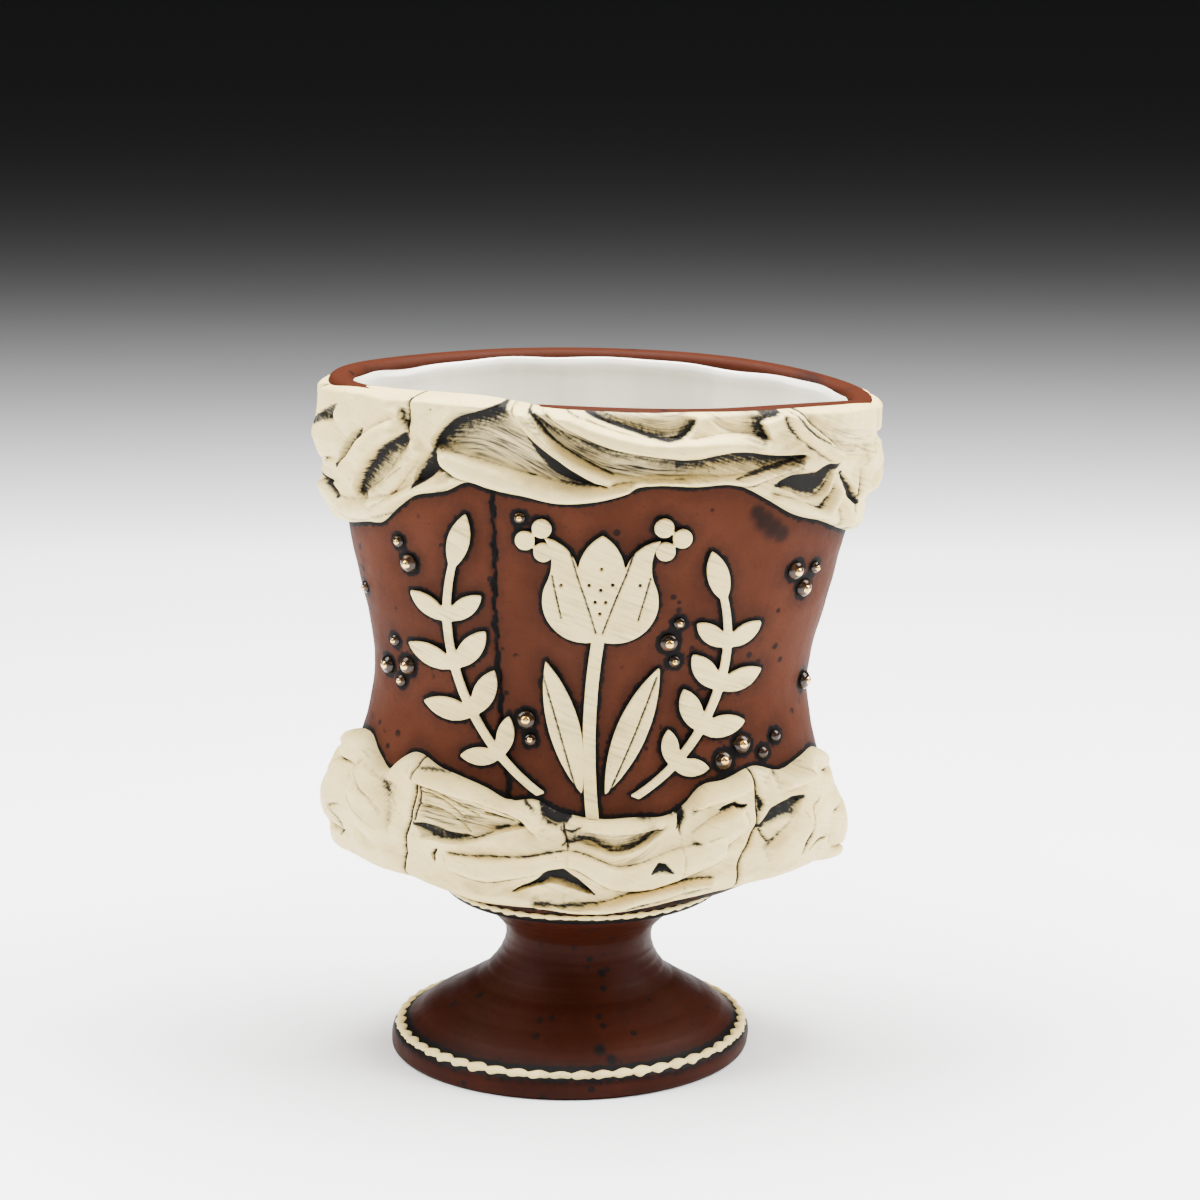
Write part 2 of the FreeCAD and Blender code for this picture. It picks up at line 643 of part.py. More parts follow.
if __name__ == "__main__":
    foot = make_foot()
    export("foot", foot)
    outer = body_solid(0)
    cavity = cavity_solid(0)
    dish = dish_solid()
    export("bowl_floor", leaned(dish.cut(cavity)))
    export("cup_wall", leaned(make_wall(outer, cavity)))
    export("glaze_lining", leaned(make_lining(cavity)))
    export("foot_edge_trim", make_foot_trim(foot))
    export("collar_trim", make_collar_trim(foot))
    for name, (start, end, rows) in rim_wads.items():
        export(name, leaned(make_wad(start, end, rows, rim_edge_heights, rim_band_thickness, [outer])))
    for name, (start, end, rows) in waist_wads.items():
        wad = make_wad(start, end, rows, waist_edge_heights, waist_band_thickness, [outer, dish])
        export(name, leaned(wad))
    skin = body_solid(sprig_thickness).cut(outer)
    export("tulip", leaned(laid_on(skin, [make_tulip()])))
    export("tulip_stem", leaned(laid_on(skin, [make_tulip_stem()])))
    export("tulip_leaves", leaned(laid_on(skin, make_tulip_leaves())))
    export("laurel_left", leaned(laid_on(skin, [make_laurel(-1, 1.0)])))
    export("laurel_right", leaned(laid_on(skin, [make_laurel(1, right_laurel_share)])))
    export("berries", leaned(laid_on(skin, make_berries())))
    gilt_beads = [(place, bead_radius) for place in large_gilt_shares]
    gilt_beads += [(place, small_bead_radius) for place in small_gilt_shares]
    beads = gilt_beads + [(place, small_bead_radius) for place in dark_shares]
    export("beads", leaned(Part.Compound([make_bead(place, radius) for place, radius in beads])))
    export("gilt_caps", leaned(Part.Compound([make_gilt(place, radius) for place, radius in gilt_beads])))
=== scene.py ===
import json
import math

import bpy
import numpy as np
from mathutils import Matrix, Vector
from mathutils.kdtree import KDTree

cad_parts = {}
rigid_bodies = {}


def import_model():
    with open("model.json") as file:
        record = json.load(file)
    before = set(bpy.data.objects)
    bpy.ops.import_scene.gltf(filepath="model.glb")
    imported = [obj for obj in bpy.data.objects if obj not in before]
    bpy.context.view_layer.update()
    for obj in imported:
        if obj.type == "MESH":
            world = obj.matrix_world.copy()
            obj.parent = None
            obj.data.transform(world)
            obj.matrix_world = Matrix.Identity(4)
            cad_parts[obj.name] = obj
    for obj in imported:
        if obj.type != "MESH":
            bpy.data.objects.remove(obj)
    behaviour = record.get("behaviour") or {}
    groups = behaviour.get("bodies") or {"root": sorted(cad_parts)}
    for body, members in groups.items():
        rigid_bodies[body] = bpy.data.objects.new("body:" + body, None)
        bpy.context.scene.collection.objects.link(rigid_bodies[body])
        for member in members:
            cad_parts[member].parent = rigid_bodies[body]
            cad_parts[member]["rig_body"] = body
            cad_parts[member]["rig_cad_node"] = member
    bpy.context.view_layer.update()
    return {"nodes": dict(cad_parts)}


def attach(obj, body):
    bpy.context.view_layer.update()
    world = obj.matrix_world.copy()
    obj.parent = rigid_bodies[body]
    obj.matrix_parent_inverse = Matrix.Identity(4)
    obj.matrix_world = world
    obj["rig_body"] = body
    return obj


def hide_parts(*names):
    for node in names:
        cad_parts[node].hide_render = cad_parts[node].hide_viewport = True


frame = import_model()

print("frame loaded")

mm = 0.001
weld = 2e-6                        # metres: corners nearer than this are one
sharpFrom = math.radians(50)       # an edge turns sharp at this angle


# the cup's own surface

cup = {
    "depthShare": 0.59,      # half depth of the oval for each half width
    "lean": 2.0,             # degrees, to the right
    "collarTop": 31.5,
    "collarX": -2.9,
    "collarRadius": 25.0,
    "dishTop": 40.0,
    "rimTop": 121.3,
    "lipRound": 1.4,
    "wall": 4.3,
    "glaze": 0.6,
    # angle, how much higher the lip is there
    "lipRise": [(0, -1.2), (20, -0.5), (40, 0.3), (60, 0.9), (90, 1.2), (110, 0.8), (125, 0.4), (140, 0.1),
                (180, -0.13), (206, -0.1), (245, 0), (290, 0.1), (314, 0.2), (336, -0.3), (356, -1.2), (360, -1.2)],
    # height, half width
    "profile": [(40, 41.4), (44.5, 42.6), (54.3, 41.37), (62.14, 39.4), (69, 38.5), (86.31, 41.76),
                (104.12, 45.61), (119.9, 47.8), (124, 48.2)],
    # share of the dish's rise, share of its spread
    "dish": [(0, 0), (0.17, 0.27), (0.34, 0.5), (0.52, 0.7), (0.72, 0.87), (1, 1)],
}


def smoothCurve(places, at):
    # a soft curve through (x, y) places
    xs, ys = np.array(places, float).T
    slopes = np.gradient(ys, xs)
    at = np.clip(at, xs[0], xs[-1])
    i = np.clip(np.searchsorted(xs, at) - 1, 0, len(xs) - 2)
    h = xs[i + 1] - xs[i]
    u = (at - xs[i]) / h
    return ((2 * u**3 - 3 * u**2 + 1) * ys[i] + (u**3 - 2 * u**2 + u) * h * slopes[i]
            + (3 * u**2 - 2 * u**3) * ys[i + 1] + (u**3 - u**2) * h * slopes[i + 1])


def halfSizes(z):
    z = np.asarray(z, float)
    wide = smoothCurve(cup["profile"], z)
    deep = wide * cup["depthShare"]
    rise = np.clip((z - cup["collarTop"]) / (cup["dishTop"] - cup["collarTop"]), 0, 1)
    spread = np.interp(rise, *np.array(cup["dish"], float).T)
    dishWide = cup["collarRadius"] + spread * (cup["profile"][0][1] - cup["collarRadius"])
    dishDeep = cup["collarRadius"] + spread * (cup["profile"][0][1] * cup["depthShare"] - cup["collarRadius"])
    inDish = z < cup["dishTop"]
    return np.where(inDish, dishWide, wide), np.where(inDish, dishDeep, deep)


def onOval(angle, wide, deep, out=0.0):
    # a place on an oval, moved out square to it; angles in degrees, 270 faces the front
    t = np.radians(angle)
    nx, ny = np.cos(t) / wide, np.sin(t) / deep
    size = np.hypot(nx, ny)
    return wide * np.cos(t) + nx / size * out, deep * np.sin(t) + ny / size * out


def onBody(angle, z, out=0.0):
    angle, z, out = np.broadcast_arrays(angle, z, out)
    x, y = onOval(angle, *halfSizes(z), out)
    return np.stack([x, y, z], -1)


def leaned(points):
    a = math.radians(cup["lean"])
    x, y, z = points[..., 0], points[..., 1], points[..., 2] - cup["collarTop"]
    return np.stack([x * math.cos(a) + z * math.sin(a) + cup["collarX"], y,
                     z * math.cos(a) - x * math.sin(a) + cup["collarTop"]], -1)


wanderLook = {"waves": 10, "sizes": (0.5, 1.5), "calm": 4}


def wander(points, size, seed):
    # soft unevenness of a hand-made surface, about -1 to 1
    chance = np.random.default_rng(seed)
    total = np.zeros(points.shape[:-1])
    for _ in range(wanderLook["waves"]):
        way = chance.normal(size=3)
        way *= chance.uniform(*wanderLook["sizes"]) * math.tau / size / np.linalg.norm(way)
        total += np.sin(points @ way + chance.uniform(0, math.tau))
    return total / wanderLook["calm"]


def uneven(points, layers):
    # layers of wander: amount, size, seed
    return sum(amount * wander(points, size, seed) for amount, size, seed in layers)


def waves(at, layers):
    # layers of sine: share, beats, start
    return sum(share * np.sin(at * beats + start) for share, beats, start in layers)


def softStep(low, high, value):
    u = np.clip((value - low) / (high - low), 0, 1)
    return u * u * (3 - 2 * u)


# making pieces

def active():
    return bpy.context.view_layer.objects.active


def clearSelection():
    bpy.ops.object.select_all(action="DESELECT")


def setPlaces(piece, metres):
    piece.data.vertices.foreach_set("co", metres.astype(np.float32).ravel())


def setMarks(piece, marks):
    for key, values in marks.items():
        layer = piece.data.attributes.new(key, "FLOAT", "POINT")
        layer.data.foreach_set("value", values.astype(np.float32).ravel())


def dropUvs(piece):
    for uv in list(piece.data.uv_layers):
        piece.data.uv_layers.remove(uv)


def fromGrid(name, points, marks=None, shut=True):
    # a flat grid whose corners are moved to points, in millimetres, then joined where they meet
    # and filled at its ends
    rows, cols = points.shape[:2]
    clearSelection()
    bpy.ops.mesh.primitive_grid_add(x_subdivisions=cols - 1, y_subdivisions=rows - 1, size=1)
    piece = active()
    piece.name = piece.data.name = name
    setPlaces(piece, points * mm)
    dropUvs(piece)
    setMarks(piece, marks or {})
    bpy.ops.object.mode_set(mode="EDIT")
    bpy.ops.mesh.select_all(action="SELECT")
    bpy.ops.mesh.remove_doubles(threshold=weld)
    if shut:
        bpy.ops.mesh.select_all(action="DESELECT")
        bpy.ops.mesh.select_non_manifold(extend=False)
        bpy.ops.mesh.fill_holes(sides=0)
    bpy.ops.mesh.select_all(action="SELECT")
    bpy.ops.mesh.normals_make_consistent(inside=False)
    bpy.ops.object.mode_set(mode="OBJECT")
    bpy.ops.object.shade_smooth_by_angle(angle=sharpFrom)
    return piece


def place(piece, node, material):
    piece.data.materials.clear()
    piece.data.materials.append(material)
    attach(piece, "root")
    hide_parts(node)
    return piece


# finishes: colours are linear; a noise is (scale, detail, roughness), an edge is where a soft step starts
# and ends, a patch is (noise, edge, share), and dots are (scale, size, spread, share)

colours = {
    "redClay": (0.049, 0.0132, 0.0055, 1), "redClayPale": (0.072, 0.0205, 0.0091, 1),
    "footClay": (0.022, 0.0042, 0.0016, 1), "footClayPale": (0.036, 0.0072, 0.0028, 1),
    "cream": (0.80, 0.635, 0.265, 1), "creamWarm": (0.72, 0.54, 0.21, 1), "film": (0.27, 0.26, 0.20, 1),
    # wash is the near-black of the dark wash and stains, and of the painted shade in creases, cracks, corners and
    # undersides
    "wash": (0.004, 0.004, 0.0042, 1), "lip": (0.040, 0.0092, 0.0036, 1),
    "glaze": (0.78, 0.75, 0.64, 1), "glazeShade": (0.60, 0.575, 0.49, 1), "glazeSpeck": (0.25, 0.2, 0.15, 1),
    "darkGlaze": (0.012, 0.007, 0.004, 1), "darkGlazeThin": (0.05, 0.02, 0.008, 1),
    "gilt": (0.86, 0.58, 0.2, 1), "giltWorn": (0.55, 0.3, 0.07, 1),
    # farFloor is the painted dark of the far floor
    "floor": (0.95, 0.95, 0.955, 1), "floorShade": (0.9, 0.9, 0.91, 1), "farFloor": (0.004, 0.004, 0.004, 1),
    "unlit": (0, 0, 0, 1), "sky": (0.95, 0.97, 1, 1),
}


# how scattered dots keep to patches, and where their edges are
scatter = {"patches": 0.35, "detail": 2.0, "fade": 0.06, "core": 0.6}


class Finish:
    # a material whose nodes are joined by name
    def __init__(self, name):
        self.material = bpy.data.materials.new(name)
        self.material.use_nodes = True
        self.tree = self.material.node_tree
        self.shader = self.tree.nodes["Principled BSDF"]
        self.place = self.node("ShaderNodeTexCoord").outputs["Object"]

    def node(self, kind, settings=None, **inputs):
        # inputs go by name, or as i0, i1 and so on by number
        made = self.tree.nodes.new(kind)
        for key, value in (settings or {}).items():
            setattr(made, key, value)
        for key, value in inputs.items():
            numbered = key[0] == "i" and key[1:].isdigit()
            self.plug(made.inputs[int(key[1:]) if numbered else key.replace("_", " ")], value)
        return made

    def plug(self, socket, value):
        if isinstance(value, bpy.types.NodeSocket):
            self.tree.links.new(value, socket)
        else:
            socket.default_value = value

    def maths(self, operation, a, b, clamp=False):
        return self.node("ShaderNodeMath", {"operation": operation, "use_clamp": clamp}, i0=a, i1=b).outputs[0]

    def times(self, a, b):
        return self.maths("MULTIPLY", a, b)

    def plus(self, a, b, clamp=False):
        return self.maths("ADD", a, b, clamp)

    def most(self, first, *others):
        for value in others:
            first = self.maths("MAXIMUM", first, value, clamp=True)
        return first

    def ragged(self, noise, amount):
        # a noise that swings round zero
        return self.times(self.maths("SUBTRACT", noise, 0.5), amount)

    def noise(self, scale, detail=4.0, rough=0.55, at=None, distortion=0.0):
        return self.node("ShaderNodeTexNoise", {}, Vector=at or self.place, Scale=scale, Detail=detail,
                         Roughness=rough, Distortion=distortion).outputs["Fac"]

    def dots(self, scale, size, spread, share):
        # scattered round specks
        spots = self.node("ShaderNodeTexVoronoi", {}, Vector=self.place, Scale=scale)
        patches = self.noise(scale * scatter["patches"], scatter["detail"])
        wanted = self.span(patches, spread, spread + scatter["fade"])
        inside = self.span(spots.outputs["Distance"], size, size * scatter["core"])
        return self.times(self.times(inside, wanted), share)

    def patch(self, noise, edge, share, **rest):
        return self.times(self.span(self.noise(*noise, **rest), *edge), share)

    def span(self, value, low, high):
        # 0 at low, 1 at high, soft between
        return self.node("ShaderNodeMapRange", {"interpolation_type": "SMOOTHSTEP"}, Value=value,
                         From_Min=low, From_Max=high).outputs["Result"]

    def mark(self, name):
        return self.node("ShaderNodeAttribute", {"attribute_name": name}).outputs["Fac"]

    def mix(self, share, first, second):
        return self.node("ShaderNodeMix", {"data_type": "RGBA"}, Factor=share, i6=first, i7=second).outputs[2]

    def mottle(self, patch, first, second, **rest):
        return self.mix(self.patch(*patch, 1.0, **rest), colours[first], colours[second])

    def roughness(self, least, scale, spread):
        return self.plus(least, self.times(self.noise(scale), spread))

    def finish(self, colour, rough, height=None, bump=None, **rest):
        self.plug(self.shader.inputs["Base Color"], colour)
        self.plug(self.shader.inputs["Roughness"], rough)
        if height:
            distance, strength = bump
            bumped = self.node("ShaderNodeBump", {}, Strength=strength, Distance=distance, Height=height)
            self.plug(self.shader.inputs["Normal"], bumped.outputs["Normal"])
        for key, value in rest.items():
            self.shader.inputs[key.replace("_", " ")].default_value = value
        return self.material


creamLook = {
    "comb": 0.07, "hairs": (1.9, 3.0, 0.6), "hairTwist": 0.2, "hairEdge": (0.44, 0.66),
    "broad": ((0.5, 2.0, 0.5), (0.4, 0.7), 0.45), "streakShare": 0.8,
    "rag": (1500, 5.0, 0.65), "ragShare": 0.8, "hairRag": 1.0,
    "washEdge": (0.16, 0.84), "veilEdge": (0.0, 0.6), "veilShare": 0.5, "pricks": (420, 0.13, 0.6, 0.75),
    "warmth": ((160, 4.0), (0.35, 0.75)), "filmEdge": (0.25, 0.6), "rough": (0.4, 700, 0.16), "washRough": 0.4,
    "tooth": (900, 5.0, 0.5), "streakDepth": 0.5, "bump": (0.00012, 0.8), "gleam": 0.35,
}


def creamClay():
    f, look = Finish("creamClay"), creamLook
    combed = f.node("ShaderNodeCombineXYZ", {}, X=f.times(f.mark("grainAlong"), look["comb"]),
                    Y=f.mark("grainAcross"), Z=0.0).outputs[0]
    hairs = f.noise(*look["hairs"], at=combed, distortion=look["hairTwist"])
    streaks = f.plus(f.span(hairs, *look["hairEdge"]), f.patch(*look["broad"], at=combed))
    streaks = f.times(streaks, f.mark("grainAmount"))
    rag = f.plus(f.ragged(f.noise(*look["rag"]), look["ragShare"]), f.ragged(hairs, look["hairRag"]))
    # the wash mark on cream is painted shade in creases, cracks, cuts, hollows and under laps, with a few stains;
    # the veil spreads a fainter painted shade round it
    wash = f.plus(f.mark("wash"), rag)
    dark = f.most(f.span(wash, *look["washEdge"]), f.times(streaks, look["streakShare"]),
                  f.times(f.span(wash, *look["veilEdge"]), look["veilShare"]), f.dots(*look["pricks"]))
    clay = f.mottle(look["warmth"], "cream", "creamWarm")
    film = f.times(f.span(f.mark("film"), 0.0, 1.0), f.span(hairs, *look["filmEdge"]))
    colour = f.mix(dark, f.mix(film, clay, colours["film"]), colours["wash"])
    rough = f.plus(f.roughness(*look["rough"]), f.times(dark, look["washRough"]), clamp=True)
    height = f.maths("SUBTRACT", f.noise(*look["tooth"]), f.times(streaks, look["streakDepth"]))
    return f.finish(colour, rough, height, look["bump"], Specular_IOR_Level=look["gleam"])


redLook = {
    "rag": (900, 5.0, 0.65), "haloRag": 1.4, "haloEdge": (1.15, 0.55),
    "hazeRag": 5.0, "hazeEdge": (4.0, 0.4), "hazeShare": 0.3,
    "smudges": ((70, 5.0, 0.6), (0.6, 0.78), 0.55), "smudgeTwist": 0.6,
    "specks": (300, 0.24, 0.52, 0.85), "grit": (900, 0.15, 0.56, 0.6),
    "tones": ((55, 5.0), (0.3, 0.75)), "grain": ((2600, 3.0), (0.5, 0.8), 0.25), "roughSpread": (400, 0.2),
    "tooth": (1100, 5.0, 0.6), "dents": (180, 3.0), "dentShare": 2.0, "bump": (0.00007, 0.8),
}


def redClay(name, tone, pale, rough, gleam):
    # matt red clay: a dark wash and painted shade lie beside everything that stands on it
    f, look = Finish(name), redLook
    gap, rag = f.mark("gap"), f.noise(*look["rag"])
    # halo and haze are painted shade, with a dark wash, that fade with the gap to what stands on the clay
    halo = f.span(f.plus(gap, f.ragged(rag, look["haloRag"])), *look["haloEdge"])
    haze = f.times(f.span(f.plus(gap, f.ragged(rag, look["hazeRag"])), *look["hazeEdge"]), look["hazeShare"])
    dark = f.most(halo, haze, f.patch(*look["smudges"], distortion=look["smudgeTwist"]),
                  f.dots(*look["specks"]), f.dots(*look["grit"]), f.mark("wash"))
    clay = f.mix(f.patch(*look["grain"]), f.mottle(look["tones"], tone, pale), colours["wash"])
    colour = f.mix(dark, f.mix(f.mark("lip"), clay, colours["lip"]), colours["wash"])
    height = f.plus(f.noise(*look["tooth"]), f.times(f.noise(*look["dents"]), look["dentShare"]))
    return f.finish(colour, f.roughness(rough, *look["roughSpread"]), height, look["bump"], Specular_IOR_Level=gleam)


glazeLook = {
    "drawnDown": (1, 1, 0.25), "shade": ((60, 3.0), (0.35, 0.75)), "specks": (500, 0.1, 0.62, 0.5),
    "ripple": (120, 2.0), "bump": (0.00025, 0.5), "rough": 0.12, "coat": 0.6, "coatRough": 0.04,
}


def whiteGlaze():
    f, look = Finish("whiteGlaze"), glazeLook
    upDown = f.node("ShaderNodeMapping", {}, Vector=f.place, Scale=look["drawnDown"]).outputs[0]
    colour = f.mix(f.dots(*look["specks"]), f.mottle(look["shade"], "glaze", "glazeShade", at=upDown),
                   colours["glazeSpeck"])
    return f.finish(colour, look["rough"], f.noise(*look["ripple"]), look["bump"],
                    Coat_Weight=look["coat"], Coat_Roughness=look["coatRough"])


beadLook = {"pools": ((500, 2.0), (0.4, 0.8)), "ripple": (700, 2.0), "bump": (0.00003, 0.4), "rough": 0.08,
            "gleam": 0.3}


def darkGlaze():
    f, look = Finish("darkGlaze"), beadLook
    return f.finish(f.mottle(look["pools"], "darkGlaze", "darkGlazeThin"), look["rough"],
                    f.noise(*look["ripple"]), look["bump"], Specular_IOR_Level=look["gleam"])


giltLook = {"wear": ((1500, 3.0), (0.4, 0.75)), "ripple": (1400, 3.0), "bump": (0.00004, 0.5),
            "rough": (0.14, 1800, 0.15)}


def goldLustre():
    f, look = Finish("goldLustre"), giltLook
    return f.finish(f.mottle(look["wear"], "gilt", "giltWorn"), f.roughness(*look["rough"]),
                    f.noise(*look["ripple"]), look["bump"], Metallic=1.0)


cream = creamClay()
wallClay = redClay("wallClay", "redClay", "redClayPale", rough=0.5, gleam=0.05)
turnedClay = redClay("turnedClay", "footClay", "footClayPale", rough=0.4, gleam=0.06)
glaze = whiteGlaze()
beadGlaze = darkGlaze()
gilt = goldLustre()
print("finishes made")


# folded bands: lumps of cream clay pressed on side by side and worked with strokes, whose places are
# (angle, height, half width) on the cup, in degrees and millimetres, each list in the order of the work;
# dark is how much painted shade a stroke lays down, 1 where it isn't said

def strokeOf(kind):
    return lambda path, **sizes: {"kind": kind, "path": path, "dark": 1.0, **sizes}


roll, lap, cut, hollow, panel = (strokeOf(kind) for kind in ("roll", "lap", "cut", "hollow", "panel"))

rimStrokes = [
    lap([(227.9, 115.9), (224, 114.1), (220.4, 112.6), (214.4, 109), (209.4, 105.6), (206.1, 101.9)],
         over=(215.9, 113.5), lift=0.9, drop=1.6, feather=2.4, streak=0.7),
    lap([(225.7, 120), (226.2, 117.7), (227.6, 115.5)],
         over=(222.4, 117.6), lift=0.4, drop=0.8, feather=1.0, dark=0.9),
    cut([(229.4, 123.2, 0.16), (228.3, 119.6, 0.16), (227.6, 115.9, 0.27)], depth=0.6, dark=0.9),
    roll([(226.4, 116.6, 1.44), (219.4, 113.9, 1.8), (209.4, 109, 1.98), (202.2, 105, 1.62)], height=1.2),
    roll([(231.9, 114.3, 1.62), (226.8, 110.7, 1.8), (220.6, 105.6, 1.62), (211.6, 101.8, 1.62)], height=1.3),
    roll([(190.8, 101.3, 1.44), (202.1, 99.4, 1.8), (215.2, 101.1, 1.62), (223.8, 103.1, 1.44),
          (231.1, 105.9, 1.44), (237.5, 107.8, 1.26)], height=1.1),
    hollow([(213.3, 114.6, 0.36), (206.8, 111.2, 1.26), (199.1, 106.8, 0.54)], depth=1.2, dark=0.8),
    hollow([(183.2, 112.7, 0.9), (197.4, 115.8, 1.08), (203.4, 117.8, 0.36)], depth=1.0, dark=0.8),
    hollow([(183.5, 104.4, 0.36), (191.9, 103.2, 0.9), (199.3, 101.2, 0.36)], depth=1.4, dark=0.9),
    hollow([(234.8, 112.9, 0.54), (232.8, 109.9, 1.62), (228.4, 106.2, 0.54)], depth=1.8),
    hollow([(232.5, 109.9, 1.26), (236.4, 109.2, 0.36)], depth=1.4),
    cut([(220.4, 106.6, 0.14), (223.1, 107.9, 0.22), (225.6, 109.1, 0.14)], depth=0.3, dark=0.5),
    panel([(237, 116.2, 1.8), (245.9, 116.5, 4.86), (253.2, 114.4, 4.14), (258.3, 112.2, 2.88),
           (263.3, 110.2, 1.62), (268.6, 108.8, 0.54)], depth=1.2, streak=0.95, film=0.5),
    lap([(251.5, 122.6), (247.8, 121.3), (243.9, 120), (239.9, 118.8), (237, 117), (234.8, 114.9), (234, 112.4)],
         over=(240.8, 121.7), lift=0.9, drop=1.2, feather=3.4),
    roll([(235.2, 112.4, 1.26), (239.4, 110.8, 2.16), (247.8, 109, 2.34), (256.2, 107.4, 2.34),
          (264.5, 106.4, 2.16), (271.5, 106.8, 1.98), (278.3, 108, 1.44)], height=2.2),
    roll([(252.9, 123.2, 1.08), (253.9, 120.7, 1.35), (255.8, 118.2, 1.44), (259.4, 115.2, 1.44),
          (263.4, 112.8, 1.44), (268.2, 110.7, 1.44), (273.8, 109.1, 0.9)], height=2.3),
    hollow([(255.1, 116.4, 0.18), (258.2, 113.4, 0.9), (261.9, 111, 1.44), (265.9, 109.4, 1.26),
            (269.9, 108.5, 0.18)], depth=1.0),
    panel([(256.7, 121.3, 0.9), (262.2, 116.8, 1.98), (270, 113.6, 2.52), (279, 111.9, 2.34),
           (290.3, 111, 1.44)], depth=1.1, streak=1.0, film=0.45),
    lap([(256.1, 121.6), (258.4, 119.5), (261.9, 118), (266.6, 116.4), (272.7, 115), (279, 114.3),
         (285.9, 113.5), (290, 113.5), (293.4, 113.6)],
         over=(267.9, 118.4), lift=0.3, drop=0.6, feather=1.8, dark=0.8),
    roll([(259.2, 121.5, 0.9), (265, 119, 1.44), (271.8, 116.8, 1.62), (279.7, 115.4, 1.62),
          (287.8, 115.4, 1.62), (297.2, 116.2, 1.62), (306.7, 115.3, 1.26)], height=1.7),
    panel([(267.8, 122.9, 1.08), (275.5, 121, 2.34), (283.3, 119.7, 2.34), (289.3, 120.8, 1.44)],
           depth=1.0, streak=0.7, film=0.35),
    lap([(263.2, 123), (267.7, 120.4), (271.2, 119.2), (275.5, 118.1), (280, 116.9), (284.6, 116.4),
         (287.3, 117.3), (289, 119), (289.6, 121.1)], over=(273.8, 115.6), lift=0.4, drop=1.0, feather=1.7),
    panel([(291.6, 121.8, 1.08), (296.7, 119.6, 1.8), (303.9, 118.8, 1.44)], depth=0.5, streak=0.5, film=0.2),
    lap([(309.5, 121.7), (307.4, 120.2), (304.2, 119.5), (305.2, 118), (307, 116.2)],
         over=(309.3, 118.6), lift=0.7, drop=1.3, feather=2.3, streak=0.9),
    lap([(284.3, 113), (288.8, 113.3), (293.6, 113.9), (299.9, 114.5), (307.4, 113.7), (318.3, 113.5)],
         over=(299.7, 116.1), lift=0.5, drop=1.3, feather=2.1, streak=1.0),
    roll([(278.2, 109.2, 1.26), (288.4, 108.9, 1.62), (299.4, 109.1, 1.44), (307.6, 110.6, 1.08),
          (317.5, 112.2, 0.9)], height=1.5),
    cut([(298.8, 110, 0.14), (303.8, 110.9, 0.25), (308.9, 111.7, 0.25), (317.2, 113.1, 0.14)],
         depth=0.4, dark=0.9),
    roll([(307.2, 106, 1.26), (316.1, 103.8, 1.62), (325.1, 102.4, 1.44), (328.2, 105.1, 1.26),
          (331.2, 108, 1.08)], height=1.6),
    roll([(309, 122.8, 1.08), (313.6, 118.7, 1.44), (320.3, 115.4, 1.44), (329.6, 111.7, 1.26)], height=1.9),
    cut([(310.8, 121.1, 0.18), (313.9, 118.7, 0.29), (317, 117.1, 0.27), (322.4, 115.2, 0.16)],
         depth=0.6, dark=0.95),
    panel([(313.6, 120.8, 1.08), (319.2, 117.4, 1.8), (325.8, 115.5, 2.52), (346.7, 113.1, 2.52)],
           depth=0.5, streak=0.55, film=0.2),
    cut([(324.2, 116.9, 0.16), (330.8, 114.1, 0.22), (337.4, 113.6, 0.22), (346.8, 112, 0.22),
         (348.8, 114.1, 0.16)], depth=0.25, dark=0.5),
    hollow([(309.7, 108.2, 0.36), (314.1, 108.5, 1.44), (318.3, 107.9, 2.34), (322, 107.7, 2.52),
            (325.6, 109.5, 1.8), (328.3, 110.7, 0.9)], depth=2.6),
    hollow([(330.6, 109.3, 0.45), (335.4, 106.6, 0.9), (343.5, 102.8, 0.54)], depth=2.0),
    roll([(339.7, 111.8, 1.8), (356.4, 107.5, 2.16), (355.9, 103.9, 1.62)], height=1.4),
    roll([(332.7, 104.7, 1.08), (338.4, 100.6, 1.44), (342.2, 97.4, 1.26)], height=1.2),
]
